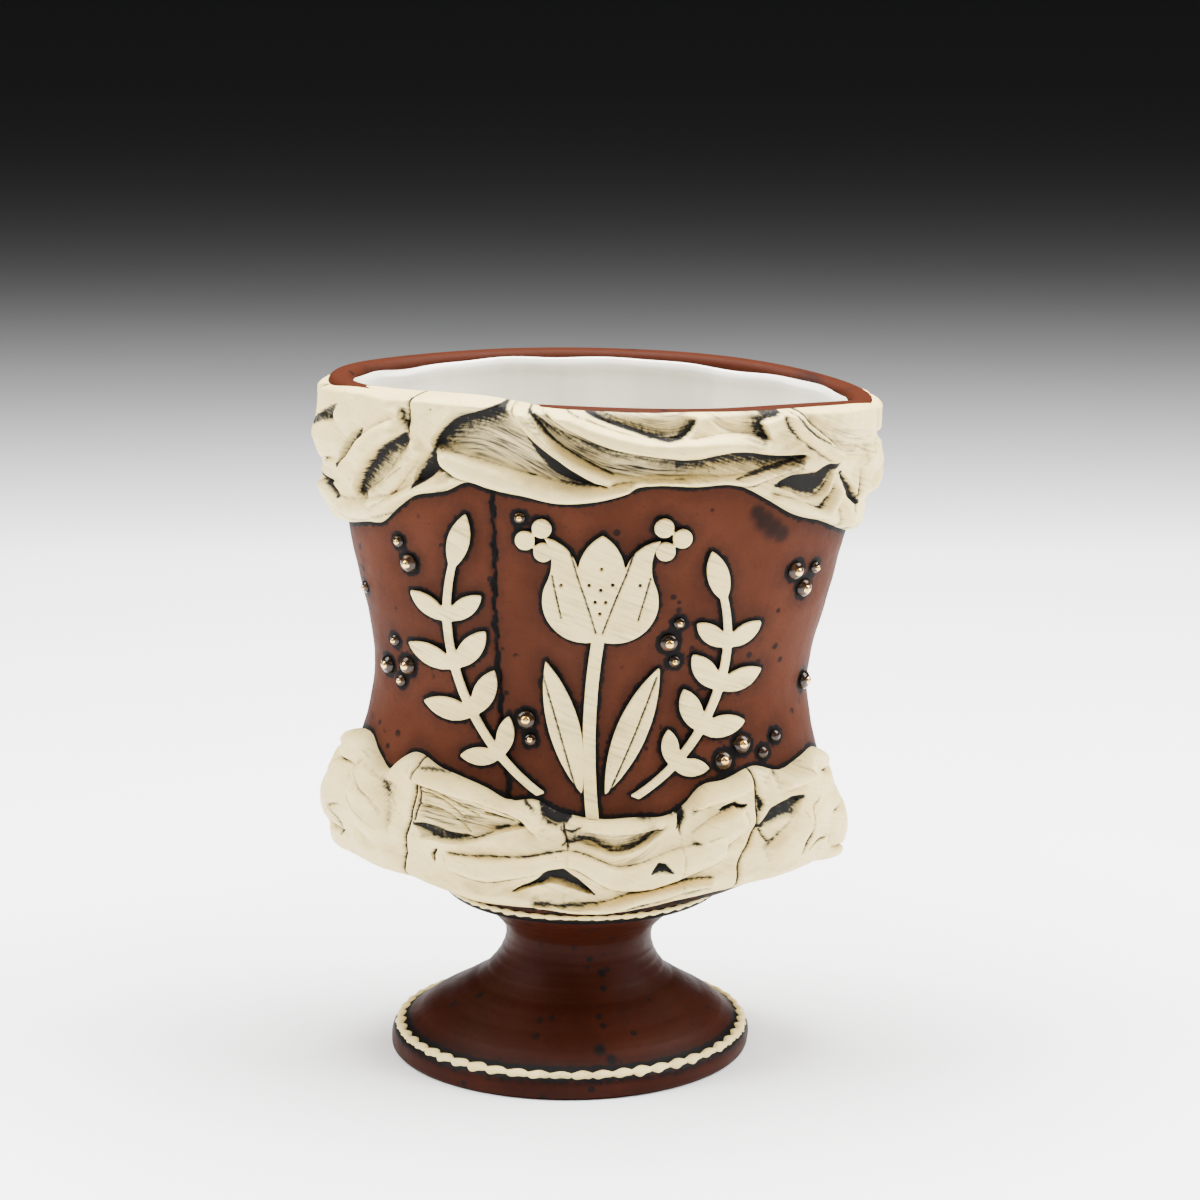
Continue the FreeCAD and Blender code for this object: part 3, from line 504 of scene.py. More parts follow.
waistStrokes = [
    roll([(202.1, 54, 2.88), (210.1, 47.9, 4.68), (214.3, 41.2, 3.6)], height=1.1),
    cut([(227.6, 52.7, 0.23), (228.7, 49.6, 0.23), (227.8, 46.6, 0.25)], depth=0.5, dark=0.9),
    panel([(227.6, 49.5, 3.6), (236.6, 49, 3.06), (246.6, 48.2, 1.8), (254, 47.7, 0.72)],
           depth=0.9, streak=0.95, film=0.12),
    cut([(227.7, 52.5, 0.13), (237.6, 50.7, 0.14), (244.7, 48.8, 0.11)], depth=0.4, dark=0.9),
    cut([(228.1, 51.7, 0.13), (236.4, 50.1, 0.14), (241.8, 47.8, 0.11)], depth=0.4, dark=0.8),
    cut([(228.7, 49.6, 0.14), (236.8, 48.4, 0.14), (243.4, 45.8, 0.11)], depth=0.4, dark=0.8),
    cut([(246.1, 49.4, 0.09), (249.7, 49, 0.27), (253.4, 48.4, 0.09)], depth=0.5),
    hollow([(227.5, 45.9, 0.36), (232.2, 45.2, 1.08), (238.6, 44.8, 0.72), (243.5, 45.1, 0.18)],
            depth=0.8, dark=0.85),
    roll([(223.5, 54.7, 1.26), (235.7, 53.5, 1.44), (246, 52.4, 1.44), (255.5, 49.9, 1.44), (260.1, 46.7, 1.26)],
          height=1.5),
    lap([(228.4, 43.1), (232.9, 44), (238.1, 43.8), (244.5, 44.6), (251.3, 46.8), (257.9, 48)],
         over=(237.2, 41.9), lift=0.7, drop=0.6, feather=0.9, dark=0.6),
    hollow([(234.3, 42.2, 0.18), (232.6, 40.8, 0.4), (232.8, 39.5, 0.18)], depth=0.9, dark=0.95),
    cut([(193.2, 44.3, 0.18), (196.9, 42.3, 0.32), (195.6, 39.7, 0.18)], depth=0.5, dark=0.8),
    cut([(202.9, 52.6, 0.14), (207.6, 50.6, 0.22), (214.3, 48.3, 0.22), (216.8, 46.5, 0.14)],
         depth=0.3, dark=0.5),
    cut([(199.9, 49.2, 0.14), (206.5, 46.3, 0.2), (211.9, 44.9, 0.14)], depth=0.25, dark=0.35),
    cut([(206.6, 54.3, 0.14), (215.3, 51.5, 0.2), (220.9, 48.3, 0.14)], depth=0.25, dark=0.3),
    hollow([(259.3, 51.5, 0.72), (261.4, 49.5, 1.44), (263.9, 49, 1.44), (266.4, 50.5, 0.9)], depth=2.6),
    hollow([(253.2, 35.7, 0.18), (259.6, 37.8, 0.72), (262.8, 39.2, 1.44), (266.7, 38.2, 1.26),
            (272.5, 35.8, 0.18)], depth=1.8),
    cut([(265.2, 47.5, 0.18), (266.7, 47.1, 0.36), (268.8, 48.1, 0.18)], depth=0.5, dark=0.9),
    cut([(264.2, 47.8, 0.18), (265.5, 45.3, 0.18), (264.7, 44.7, 0.18)], depth=0.4, dark=0.9),
    lap([(264.5, 44.6), (270.2, 45.3), (276.3, 43.6), (280.3, 44.3), (284, 45.8), (287.7, 48.6)],
         over=(276.4, 41.0), lift=0.4, drop=0.7, feather=1.5, dark=0.9),
    panel([(267.6, 46.6, 1.44), (275.1, 45.8, 1.62), (282.6, 46.9, 1.62), (289.1, 49.6, 0.9)],
           depth=0.8, streak=0.85, film=0.15),
    panel([(267.8, 43.1, 1.08), (275.3, 41.8, 1.08), (281.6, 43.3, 1.08), (287.7, 46.8, 0.72)],
           depth=0.1, streak=0.6, film=0.1),
    roll([(235.4, 40.2, 1.62), (246.3, 39.4, 2.34), (256.9, 40.6, 1.8), (266.7, 42.3, 1.62), (277.8, 39.1, 2.34),
          (290.8, 41.3, 2.88), (303.9, 44.7, 2.52)], height=1.8),
    roll([(255.3, 32.1, 1.08), (272, 32.7, 1.44), (284.2, 35.8, 1.26), (295.5, 37.6, 1.08), (302.8, 38.1, 0.72)],
          height=1.4),
    roll([(268, 48.1, 1.08), (275, 48.2, 1.44), (283.7, 48.6, 1.44), (288.6, 49.2, 1.08)], height=1.5),
    hollow([(284.8, 40.6, 0.18), (286.9, 41.6, 0.99), (289.8, 40.7, 0.18)], depth=1.3),
    hollow([(302, 50.8, 0.36), (304.3, 51.3, 0.61), (306.2, 51.7, 0.47), (307.2, 51.1, 0.47),
            (309.6, 51.3, 0.27)], depth=1.2),
    cut([(272.4, 49.6, 0.14), (278.2, 49.7, 0.29), (284.8, 49.5, 0.25), (290.4, 50.1, 0.18)],
         depth=0.6, dark=0.9),
    hollow([(292, 54, 0.9), (291.4, 51.6, 1.26), (292.1, 49.8, 0.72), (290.6, 48.2, 0.27)], depth=2.8),
    hollow([(312.3, 47.4, 0.36), (317.5, 49.2, 1.26), (324.2, 50.2, 1.44), (329.9, 51.2, 0.36)],
            depth=1.2, dark=0.9),
    hollow([(313.3, 52.6, 0.18), (314.1, 51.3, 0.58), (313.2, 49.9, 0.18)], depth=1.0),
    cut([(312.3, 47, 0.27), (314.5, 44.8, 0.18)], depth=0.6, dark=0.9),
    cut([(336.7, 50.4, 0.14), (332.9, 48.9, 0.18), (332.3, 45.7, 0.22), (329.6, 42.7, 0.32),
         (328.9, 41.1, 0.18)], depth=0.6, dark=0.9),
    cut([(331.6, 41.6, 0.16), (335.5, 42.7, 0.32), (340.7, 42.6, 0.18)], depth=0.6, dark=0.9),
    cut([(330.6, 56.4, 0.16), (334.1, 55.2, 0.22), (337.4, 53.7, 0.16)], depth=0.3, dark=0.6),
    roll([(293.8, 52.2, 1.44), (299.1, 53.4, 1.8), (307.3, 55.1, 2.16), (312.3, 55.4, 1.44)], height=1.4),
    roll([(295.2, 44.4, 2.52), (301.9, 47.3, 2.88), (309.6, 49.3, 1.8)], height=1.6),
    roll([(319.6, 54.3, 1.62), (327.6, 54.8, 1.62), (336.6, 55.6, 1.44)], height=1.5),
    roll([(315.5, 41.6, 2.16), (321.9, 44.7, 2.88), (328.7, 48.7, 1.8)], height=1.6),
]

lumpNames = ["left_end", "left_front", "middle_front", "right_front", "right_end", "right_back", "middle_back",
             "left_back"]
rimBand = {
    "prefix": "rim_fold_", "thick": 1.7, "lowEdge": 1.5, "highEdge": 1.1, "tall": 26, "step": 0.28,
    "sizeAt": 112, "rough": 1.0, "rolls": 1.45, "most": (4.7, 4.6),
    # angle, height of the lower edge
    "low": [(0, 97), (15, 97.5), (30, 100), (45, 103.5), (60, 105), (75, 104.2), (90, 106.5), (105, 107.5),
            (120, 105.2), (135, 103.5), (150, 99.5), (165, 96.5), (175, 95.5), (184, 95.3), (208, 97.4), (214, 98),
            (221, 101.3), (226, 103.6), (236, 105.5), (241, 107.3), (247, 106.4), (254, 105.8), (262, 104.9),
            (270, 105.6), (275, 106.8), (278, 107.9), (291, 108.3), (298, 108.6), (301, 108.2), (308, 105.9),
            (317, 102.7), (329, 100.6), (342, 98.2), (352, 97), (360, 97)],
    "high": [(0, 119.8), (20, 120), (40, 120.4), (60, 120.7), (90, 120.8), (135, 120.4), (180, 119.9), (194, 120.2),
             (206, 121.1), (226, 121.6), (236, 121.9), (245, 122), (252, 121.7), (258, 121.3), (270, 121.1),
             (290, 121.2), (300, 121.2), (314, 121.3), (336, 120.8), (356, 119.8), (360, 119.9)],
    # where each lump starts and the one before it ends: height, angle, how open the crack is
    "borders": {
        168: [(95, 168, 0.7), (108, 170, 0.7), (121, 168, 0.7)],
        227: [(96, 224, 0), (103, 225.5, 0), (109, 226.6, 0), (114.5, 227.5, 0), (115.5, 227.8, 1),
              (119.6, 228.3, 1), (122, 229, 1)],
        254: [(105, 260, 0), (109, 260, 0.1), (112.5, 259.4, 0.3), (114.8, 257, 0.3), (117.7, 253.8, 0.5),
              (122, 252, 0.5)],
        311: [(105, 309, 0), (108.2, 309.1, 0.3), (111.2, 308.2, 0.3), (116, 307, 0.1), (118.2, 305.5, 0.1),
              (122, 304, 0.1)],
        342: [(97, 345, 1), (103, 343.2, 0.9), (106.6, 342, 0.7), (110, 342, 0.2), (121, 341, 0)],
        18: [(96, 18, 0.8), (110, 21, 0.9), (121, 19, 0.8)], 66: [(104, 64, 0.8), (113, 67, 1), (121, 66, 0.6)],
        120: [(104, 122, 0.8), (112, 119, 0.9), (121, 121, 0.7)]},
    # angle of an end, then height and how far it stands out there
    "ends": [(181, [(95, 2.2), (96.7, 2.8), (101.7, 4.7), (105.7, 2.9), (110.7, 4.2), (114, 2.7), (117, 2.0),
                    (121, 1.5)]),
             (359, [(96, 2.8), (102.8, 2.1), (104.6, 3.85), (109, 3.8), (114, 2.2), (118, 1.6), (121, 1.3)])],
    # angle, how far the clay reaches in over the lip
    "cover": [(0, 0.6), (60, 0.6), (66, 1.2), (75, 0.6), (190, 0.6), (197, 0.9), (206, 2.1), (216, 3.3), (250, 3.3),
              (257, 2.2), (263, 0.9), (280, 0.8), (298, 0.8), (306, 1.0), (320, 0.9), (345, 0.8), (360, 0.6)],
}
waistBand = {
    "prefix": "waist_fold_", "thick": 2.7, "lowEdge": 2.4, "highEdge": 1.7, "tall": 24, "step": 0.28,
    "sizeAt": 45, "rough": 1.4, "rolls": 1.75, "most": (5.7, 5.6),
    "low": [(0, 35), (20, 34), (45, 33.5), (70, 32.8), (90, 32.4), (110, 33), (135, 34), (160, 34), (180, 35),
            (200, 35.2), (210, 34.8), (220, 34.6), (230, 33.8), (240, 32.4), (250, 32.2), (258, 32.3), (270, 31.9),
            (282, 32.2), (292, 33.6), (306, 35), (325, 36.4), (342, 37), (360, 35)],
    "high": [(0, 56), (15, 54), (30, 52.5), (45, 54), (60, 55), (75, 52), (90, 50.5), (105, 51.5), (120, 53.5),
             (135, 55), (150, 54), (165, 55.5), (180, 57), (190, 58), (199, 58), (208, 55.2), (215, 53.7),
             (219, 56.5), (233, 55.3), (245, 53.2), (252, 51.4), (257, 51.9), (264, 50), (273, 49), (282, 49.4),
             (289, 49.7), (294, 51.8), (297, 54), (305, 55.4), (315, 57.2), (324, 55.9), (334, 57), (346, 57.9),
             (360, 56)],
    "borders": {
        172: [(33, 172, 0.8), (45, 174, 0.8), (57, 171, 0.8)],
        221: [(36, 222.5, 0.9), (41.1, 224, 1), (46.6, 226.5, 1), (49.7, 227, 1), (53.1, 226.5, 1), (58, 226, 0.8)],
        264: [(32, 265, 0.2), (38.7, 265.8, 0.1), (43.8, 266, 0.2), (44.6, 266, 0.9), (48, 264.8, 0.9),
              (53, 264, 0.3)],
        297: [(33, 293, 0.2), (42.8, 292.5, 0.2), (46.8, 291.6, 0.2), (47.8, 291.4, 0.9), (49.9, 291.8, 1),
              (55, 293.5, 0.8)],
        317: [(34, 308.5, 1), (37.8, 308, 1), (43.1, 308.4, 1), (47.8, 311.7, 1), (51.2, 312.9, 1), (57, 312.7, 1)],
        12: [(34, 12, 0.9), (44, 15, 1), (55, 13, 0.8)], 62: [(33, 61, 0.9), (44, 63.5, 1), (55, 62, 0.8)],
        120: [(33, 121, 0.9), (43, 118.5, 1), (54, 120, 0.8)]},
    "ends": [(181, [(33, 3.3), (37.6, 4.4), (42.3, 5.4), (46, 5.2), (50.3, 4.1), (57, 2.8)]),
             (359, [(36, 4.6), (39.5, 5.6), (42.3, 5.2), (46, 3.7), (49.7, 1.9), (56, 1.7)])],
    "cover": [(0, 0.6), (360, 0.6)],
}

# how worked clay looks: lengths in millimetres, angles in degrees; pairs are where a soft step starts and ends
clay = {
    "turns": (-90, 450, 1081), "pathStep": 0.8, "pathLeast": 6,
    # unevenness: amount, size, seed; the band's own roughness doesn't scale the fine one
    "uneven": [(0.42, 15, 3), (0.3, 6.5, 4)], "fine": [(0.11, 2.4, 5)],
    "grainWay": (0.94, 0.34), "patchShare": 0.3, "patchSize": 9, "patchSeed": 6,
    "reach": 12.0, "taper": 2.5, "taperShare": 0.3, "knee": 0.6, "least": 0.35,
}
rollShape = {"fullness": 0.75, "blunt": 0.1, "bare": (0.05, 0.45)}
lapShape = {
    "lift": 1.4, "liftReach": 2.6, "liftFall": 1.3, "drop": 1.3, "dropReach": 3.2, "dropFall": 1.2,
    "step": (-0.32, 0.22), "shadeReach": 1.3, "shadeFall": 1.5, "shadeEdge": (0.05, -0.3), "washEnds": (0, 0.6),
    "streakReach": 5, "streakEdge": (0.2, -0.3),
}
cutShape = {"washWidth": 1.1}
hollowShape = {"edge": (1.15, 0.55), "ends": (0, 0.4), "washFrom": 1.15, "washTo": (0.75, 0.25)}
panelShape = {"edge": (1.15, 0.7), "streakEdge": (1.1, 0.7), "least": 0.02}
endShape = {
    "span": (22, 7), "share": 0.85,
    "creaseStretch": (0.6, 1.2, 1), "creaseSize": 14, "creaseSeed": 15, "creaseWidth": 0.2, "creaseDepth": 1.3,
    "creaseWash": 0.45,
}
backShape = {"strength": 0.6, "scaled": ("height", "lift", "drop", "depth"), "span": (25, 156)}
lumpShape = {
    "edgeRows": 9, "fits": 4, "least": (24, 20), "crackWidth": 0.8, "crackDepth": 0.35, "crackWash": (0.45, 0.1),
    "tuck": 0.6, "backBulge": 0.8, "softRounds": 10, "dipGain": 1.8, "dipFrom": 0.1, "dipMost": 0.85,
}


def alongOval(band, angle):
    # length round the band from angle 0, in millimetres
    if "lengths" not in band:
        t = np.radians(np.linspace(*clay["turns"]))
        wide, deep = (float(v) + band["thick"] for v in halfSizes(band["sizeAt"]))
        speed = np.hypot(wide * np.sin(t), deep * np.cos(t))
        length = np.concatenate([[0], np.cumsum((speed[1:] + speed[:-1]) / 2 * np.diff(t))])
        band["lengths"] = (np.degrees(t), length - np.interp(0, t, length))
    return np.interp(angle, *band["lengths"])


def toPath(x, y, path):
    # for each place: signed gap to a path (left of it is positive), length along it, total length, width there
    best = np.full(x.shape, np.inf)
    side, along, width = np.zeros(x.shape), np.zeros(x.shape), np.ones(x.shape)
    done = 0.0
    for (ax, ay, aw), (bx, by, bw) in zip(path, path[1:]):
        dx, dy = bx - ax, by - ay
        size = math.hypot(dx, dy)
        u = np.clip(((x - ax) * dx + (y - ay) * dy) / size**2, 0, 1)
        ex, ey = x - ax - u * dx, y - ay - u * dy
        gap = np.hypot(ex, ey)
        near = gap < best
        best = np.where(near, gap, best)
        side = np.where(near, np.sign(dx * ey - dy * ex), side)
        along = np.where(near, done + u * size, along)
        width = np.where(near, aw + u * (bw - aw), width)
        done += size
    return best * side, along, done, width


def finerPath(path):
    # the path's places joined by a soft curve
    places = np.array(path, float)
    steps = np.concatenate([[0], np.cumsum(np.hypot(*np.diff(places[:, :2], axis=0).T))])
    at = np.linspace(0, steps[-1], max(clay["pathLeast"], int(steps[-1] / clay["pathStep"])))
    return list(zip(*[smoothCurve(list(zip(steps, column)), at) for column in places.T]))


# each kind of stroke changes the part of the face that is near it

def pressRoll(near, at, stroke, band):
    share = np.clip(1 - (at["gap"] / at["width"])**2, 0, 1)
    full = share**rollShape["fullness"] * np.clip(at["ends"] + rollShape["blunt"], 0, 1)
    near["out"] += band["rolls"] * stroke["height"] * full
    bare = 1 - softStep(*rollShape["bare"], share)
    near["grainAmount"] *= bare
    near["film"] *= bare


def pressLap(near, at, stroke, band):
    # a torn edge: the side that holds "over" stands above the other, and a painted shadow falls on the lower side
    over = [np.array([float(alongOval(band, stroke["over"][0]))]), np.array([stroke["over"][1]])]
    up = at["gap"] * np.sign(toPath(*over, at["path"])[0][0])
    above, below = np.clip(up, 0, None), np.clip(-up, 0, None)
    high = lapShape["lift"] * stroke["lift"] * np.exp(-(above / lapShape["liftReach"])**lapShape["liftFall"])
    low = -lapShape["drop"] * stroke["drop"] * np.exp(-(below / lapShape["dropReach"])**lapShape["dropFall"])
    step = softStep(*lapShape["step"], up)
    near["out"] += at["ends"] * (high * step + low * (1 - step))
    feather = stroke["feather"] * lapShape["shadeReach"]
    shade = np.exp(-(below / feather)**lapShape["shadeFall"]) * softStep(*lapShape["shadeEdge"], up)
    near["wash"] = np.maximum(near["wash"], stroke["dark"] * shade * softStep(*lapShape["washEnds"], at["ends"]))
    if "streak" in stroke:
        streak = np.exp(-(below / lapShape["streakReach"])**2) * softStep(*lapShape["streakEdge"], up)
        near["grainAmount"] = np.maximum(near["grainAmount"], stroke["streak"] * streak * at["ends"])


def pressCut(near, at, stroke, band):
    near["out"] -= stroke["depth"] * np.exp(-(at["gap"] / at["width"])**2)
    # the cut is darkened with painted shade
    wash = np.exp(-(at["gap"] / (at["width"] * cutShape["washWidth"]))**2)
    near["wash"] = np.maximum(near["wash"], stroke["dark"] * wash)


def pressHollow(near, at, stroke, band):
    away = np.abs(at["gap"]) / at["width"]
    share = softStep(*hollowShape["edge"], away) * softStep(*hollowShape["ends"], at["ends"])
    near["out"] -= stroke["depth"] * share
    # the hollow is darkened with painted shade, softer on one side
    feather = np.where(at["gap"] > 0, *hollowShape["washTo"])
    near["wash"] = np.maximum(near["wash"], stroke["dark"] * softStep(hollowShape["washFrom"], feather, away))


def pressPanel(near, at, stroke, band):
    # a brushed stretch: the grain follows the path
    away = np.abs(at["gap"]) / at["width"]
    inside = softStep(*panelShape["edge"], away) * at["ends"]
    near["out"] -= stroke["depth"] * inside
    near["film"] = np.maximum(near["film"], stroke["film"] * inside)
    streak = stroke["streak"] * softStep(*panelShape["streakEdge"], away) * at["ends"]
    inside = inside > panelShape["least"]
    near["grainAlong"] = np.where(inside, at["along"], near["grainAlong"])
    near["grainAcross"] = np.where(inside, at["gap"], near["grainAcross"])
    near["grainAmount"] = np.where(inside, np.maximum(streak, near["grainAmount"]), near["grainAmount"])


presses = {"roll": pressRoll, "lap": pressLap, "cut": pressCut, "hollow": pressHollow, "panel": pressPanel}


def workStroke(face, x, y, stroke, band):
    path = finerPath([(float(alongOval(band, angle)), height, *(width or [1.0]))
                      for angle, height, *width in stroke["path"]])
    (left, bottom), (right, top) = np.min(path, axis=0)[:2], np.max(path, axis=0)[:2]
    reach = clay["reach"]
    near = (x > left - reach) & (x < right + reach) & (y > bottom - reach) & (y < top + reach)
    if not near.any():
        return
    gap, along, total, width = toPath(x[near], y[near], path)
    taper = min(clay["taper"], total * clay["taperShare"])
    ends = softStep(0, taper, along) * softStep(0, taper, total - along)
    part = {key: values[near] for key, values in face.items()}
    at = {"path": path, "gap": gap, "along": along, "width": width, "ends": ends}
    presses[stroke["kind"]](part, at, stroke, band)
    for key, values in part.items():
        face[key][near] = values


def workBand(band, strokes, angle, z):
    # how far the clay stands out, how much painted shade and film lie on it, and the way its brushed lines run
    x = alongOval(band, angle)
    flat = np.stack([x, z, np.zeros_like(x)], -1)
    most, least = clay["grainWay"]
    patches = np.clip(wander(flat, clay["patchSize"], clay["patchSeed"]), 0, 1)
    face = {
        "out": band["thick"] + band["rough"] * uneven(flat, clay["uneven"]) + uneven(flat, clay["fine"]),
        "wash": np.zeros_like(x), "film": np.zeros_like(x),
        "grainAlong": x * most - z * least, "grainAcross": x * least + z * most,
        "grainAmount": clay["patchShare"] * patches,
    }
    for stroke in strokes:
        workStroke(face, x, z, stroke, band)
    out = face["out"]
    for at, table in band["ends"]:
        held = softStep(*endShape["span"], np.abs((angle - at + 180) % 360 - 180))
        share = held * endShape["share"]
        out = out * (1 - share) + share * np.interp(z, *np.array(table, float).T)
        # creases that wander over the ends, darkened with painted shade
        crease = wander(flat * endShape["creaseStretch"], endShape["creaseSize"], endShape["creaseSeed"])
        valley = held * np.exp(-(crease / endShape["creaseWidth"])**2)
        out = out - endShape["creaseDepth"] * valley
        face["wash"] = np.maximum(face["wash"], endShape["creaseWash"] * valley**3)
    sides, front = band["most"]
    limit, knee = sides + (front - sides) * np.abs(np.sin(np.radians(angle))), clay["knee"]
    out = np.where(out > limit - knee, limit - knee + knee * np.tanh((out - limit + knee) / knee), out)
    face["out"] = np.clip(out, clay["least"], None)
    return face


def onBack(band, strokes):
    # strokes for the calmer back: those of the front, turned round and fitted between the edges there
    def turned(angle, height, *width):
        low, high = (float(smoothCurve(band[key], angle % 360)) for key in ("low", "high"))
        share = (height - low) / (high - low)
        low, high = (float(smoothCurve(band[key], (angle - 180) % 360)) for key in ("low", "high"))
        return (angle - 180, low + share * (high - low), *width)

    made = []
    first, last = backShape["span"]
    for stroke in strokes:
        calm = {key: value * backShape["strength"] for key, value in stroke.items() if key in backShape["scaled"]}
        calm["path"] = [turned(*spot) for spot in stroke["path"]]
        if "over" in stroke:
            calm["over"] = turned(*stroke["over"])
        if all(first < spot[0] < last for spot in calm["path"]):
            made.append({**stroke, **calm})
    return made


def borderOf(band, key, z):
    # angle and openness of the crack between two lumps, at each height
    table = np.array(band["borders"][key % 360], float)
    return np.interp(z, table[:, 0], table[:, 1]) + (key - key % 360), np.interp(z, table[:, 0], table[:, 2])


def faceOf(band, start, end):
    # angles and heights of a lump's face, and its two borders; the borders lean, so the fit is repeated
    edge = lumpShape["edgeRows"]
    leastCols, leastRows = lumpShape["least"]
    length = float(alongOval(band, end) - alongOval(band, start))
    across = np.linspace(0, 1, max(leastCols, int(length / band["step"])))
    rows = max(leastRows, int(band["tall"] / band["step"]))
    middle = np.linspace(0, 1, rows)[1:-1, None]
    turn = np.radians(np.linspace(0, 90, edge))[:, None]
    angles = start + np.zeros((rows - 2 + 2 * edge, 1)) + across * (end - start)
    for _ in range(lumpShape["fits"]):
        low = smoothCurve(band["low"], angles % 360)
        high = smoothCurve(band["high"], angles % 360)
        lowZ = low[:edge] + band["lowEdge"] * (1 - np.cos(turn))
        highZ = high[-edge:] - band["highEdge"] * (1 - np.cos(turn[::-1]))
        tall = (high - low - band["lowEdge"] - band["highEdge"])[edge:-edge]
        z = np.vstack([lowZ, low[edge:-edge] + band["lowEdge"] + middle * tall, highZ])
        borders = [borderOf(band, key, z) for key in (start, end)]
        angles = borders[0][0] + across * (borders[1][0] - borders[0][0])
    hold = np.ones((len(z), 1, 1))
    hold[:edge, 0], hold[-edge:, 0] = np.sin(turn), np.sin(turn[::-1])
    return angles, z, borders, across, hold


def makeBand(band, strokes):
    strokes = strokes + onBack(band, strokes)
    edge = lumpShape["edgeRows"]
    starts = list(band["borders"])
    for name, start, end in zip(lumpNames, starts, starts[1:] + starts[:1]):
        end += 360 * (end < start)
        angles, z, borders, across, hold = faceOf(band, start, end)
        # the end that runs on past 360 keeps its angles, as the strokes on it lie before 360
        face = workBand(band, strokes, angles if end > 360 else angles % 360, z)
        out = face["out"]
        # the two ends of each lump are rounded, and darkened with painted shade where a crack is open
        for at, crack in borders:
            away = np.abs(alongOval(band, angles) - alongOval(band, at))
            fall = np.clip(1 - away / lumpShape["crackWidth"], 0, 1)**2
            out = out * (1 - lumpShape["crackDepth"] * crack * fall)
            face["wash"] = np.maximum(face["wash"], crack * softStep(*lumpShape["crackWash"], away))
        tuck = np.full(z.shape, lumpShape["tuck"])
        tuck[-edge:] = smoothCurve(band["cover"], angles[-edge:] % 360)
        stands = onBody(angles, np.clip(z, cup["dishTop"], None), out)
        front = onBody(angles, z, -tuck) * (1 - hold) + stands * hold
        front[..., 2] = z
        # painted shade gathers in the dips
        soft = out.copy()
        for _ in range(lumpShape["softRounds"]):
            soft[1:-1] = (soft[:-2] + soft[1:-1] * 2 + soft[2:]) / 4
            soft[:, 1:-1] = (soft[:, :-2] + soft[:, 1:-1] * 2 + soft[:, 2:]) / 4
        dips = np.clip((soft - out) * lumpShape["dipGain"] - lumpShape["dipFrom"], 0, lumpShape["dipMost"])
        face["wash"] = np.maximum(face["wash"], dips)
        backShare = np.linspace(0, 1, edge)[1:, None]
        backZ = z[-1] + backShare * (z[0] - z[-1])
        backFrom, backTo = (borderOf(band, key, backZ)[0] for key in (start, end))
        backOut = -lumpShape["tuck"] - lumpShape["backBulge"] * np.sin(backShare * math.pi)
        back = onBody(backFrom + across * (backTo - backFrom), backZ, backOut)
        pad = np.zeros(backZ.shape)
        marks = {key: np.vstack([values, pad]) for key, values in face.items() if key != "out"}
        node = band["prefix"] + name
        place(fromGrid("clay_" + node, leaned(np.vstack([front, back])), marks), node, cream)


makeBand(rimBand, rimStrokes)
makeBand(waistBand, waistStrokes)
print("folded bands made")


# sprig, berries and leaves: the flat shapes are remeshed so that their edges are soft

sprig = {
    "nodes": ["tulip", "tulip_stem", "tulip_leaves", "laurel_left", "laurel_right", "berries"],
    "voxel": 0.00018, "soften": 6,
    # scored lines, across and up from the axis of the body, and pricked holes
    "scored": [[(0.4, 82), (-1.4, 87.5), (-3.2, 92.5), (-4.6, 97)],
               [(1.6, 82), (3.4, 87.5), (5.2, 92.5), (6.6, 97)],
               [(-5.6, 84.5), (-6.6, 88.5), (-7.4, 92)], [(7.6, 84.5), (8.6, 88.5), (9.4, 92)],
               [(-2, 54), (-5.4, 64.5), (-8.6, 74.5)], [(3.8, 54), (8, 64.5), (11.2, 74)]],
    "pricked": [(1, 85.5), (0.1, 87.6), (1.9, 87.6), (1, 89.8), (-1, 90.6), (3, 90.8), (-5.8, 90.4), (7.7, 90.8),
                (1, 93.6)],
    "scoreDepth": 0.32, "scoreWidth": 0.2, "scoreWash": 1.1,
    "prickDepth": 0.5, "prickRadius": 0.42, "prickFloor": 0.5,
    # share of the wall's radius from which the shape is its outer face
    "outer": (1.012, 1.026), "washShare": 0.9, "uneven": [(0.06, 3.5, 31)],
    "grainShare": 0.22, "grainUneven": [(0.2, 9, 33)],
}


def unleaned(points):
    a = math.radians(cup["lean"])
    x, y, z = points[..., 0] - cup["collarX"], points[..., 1], points[..., 2] - cup["collarTop"]
    return np.stack([x * math.cos(a) - z * math.sin(a), y,
                     x * math.sin(a) + z * math.cos(a) + cup["collarTop"]], -1)


def coordinates(piece):
    flat = np.empty(len(piece.data.vertices) * 3, np.float32)
    piece.data.vertices.foreach_get("co", flat)
    return flat.reshape(-1, 3).astype(float)


def copyOf(node, name):
    clearSelection()
    source = frame["nodes"][node]
    source.select_set(True)
    bpy.context.view_layer.objects.active = source
    bpy.ops.object.duplicate()
    piece = active()
    piece.name = piece.data.name = name
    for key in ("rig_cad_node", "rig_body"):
        if key in piece:
            del piece[key]
    bpy.ops.object.mode_set(mode="EDIT")
    bpy.ops.mesh.select_all(action="SELECT")
    bpy.ops.mesh.remove_doubles(threshold=weld)
    bpy.ops.object.mode_set(mode="OBJECT")
    return piece


def modify(piece, kind, **settings):
    bpy.ops.object.modifier_add(type=kind)
    modifier = piece.modifiers[-1]
    for key, value in settings.items():
        setattr(modifier, key, value)
    bpy.ops.object.modifier_apply(modifier=modifier.name)


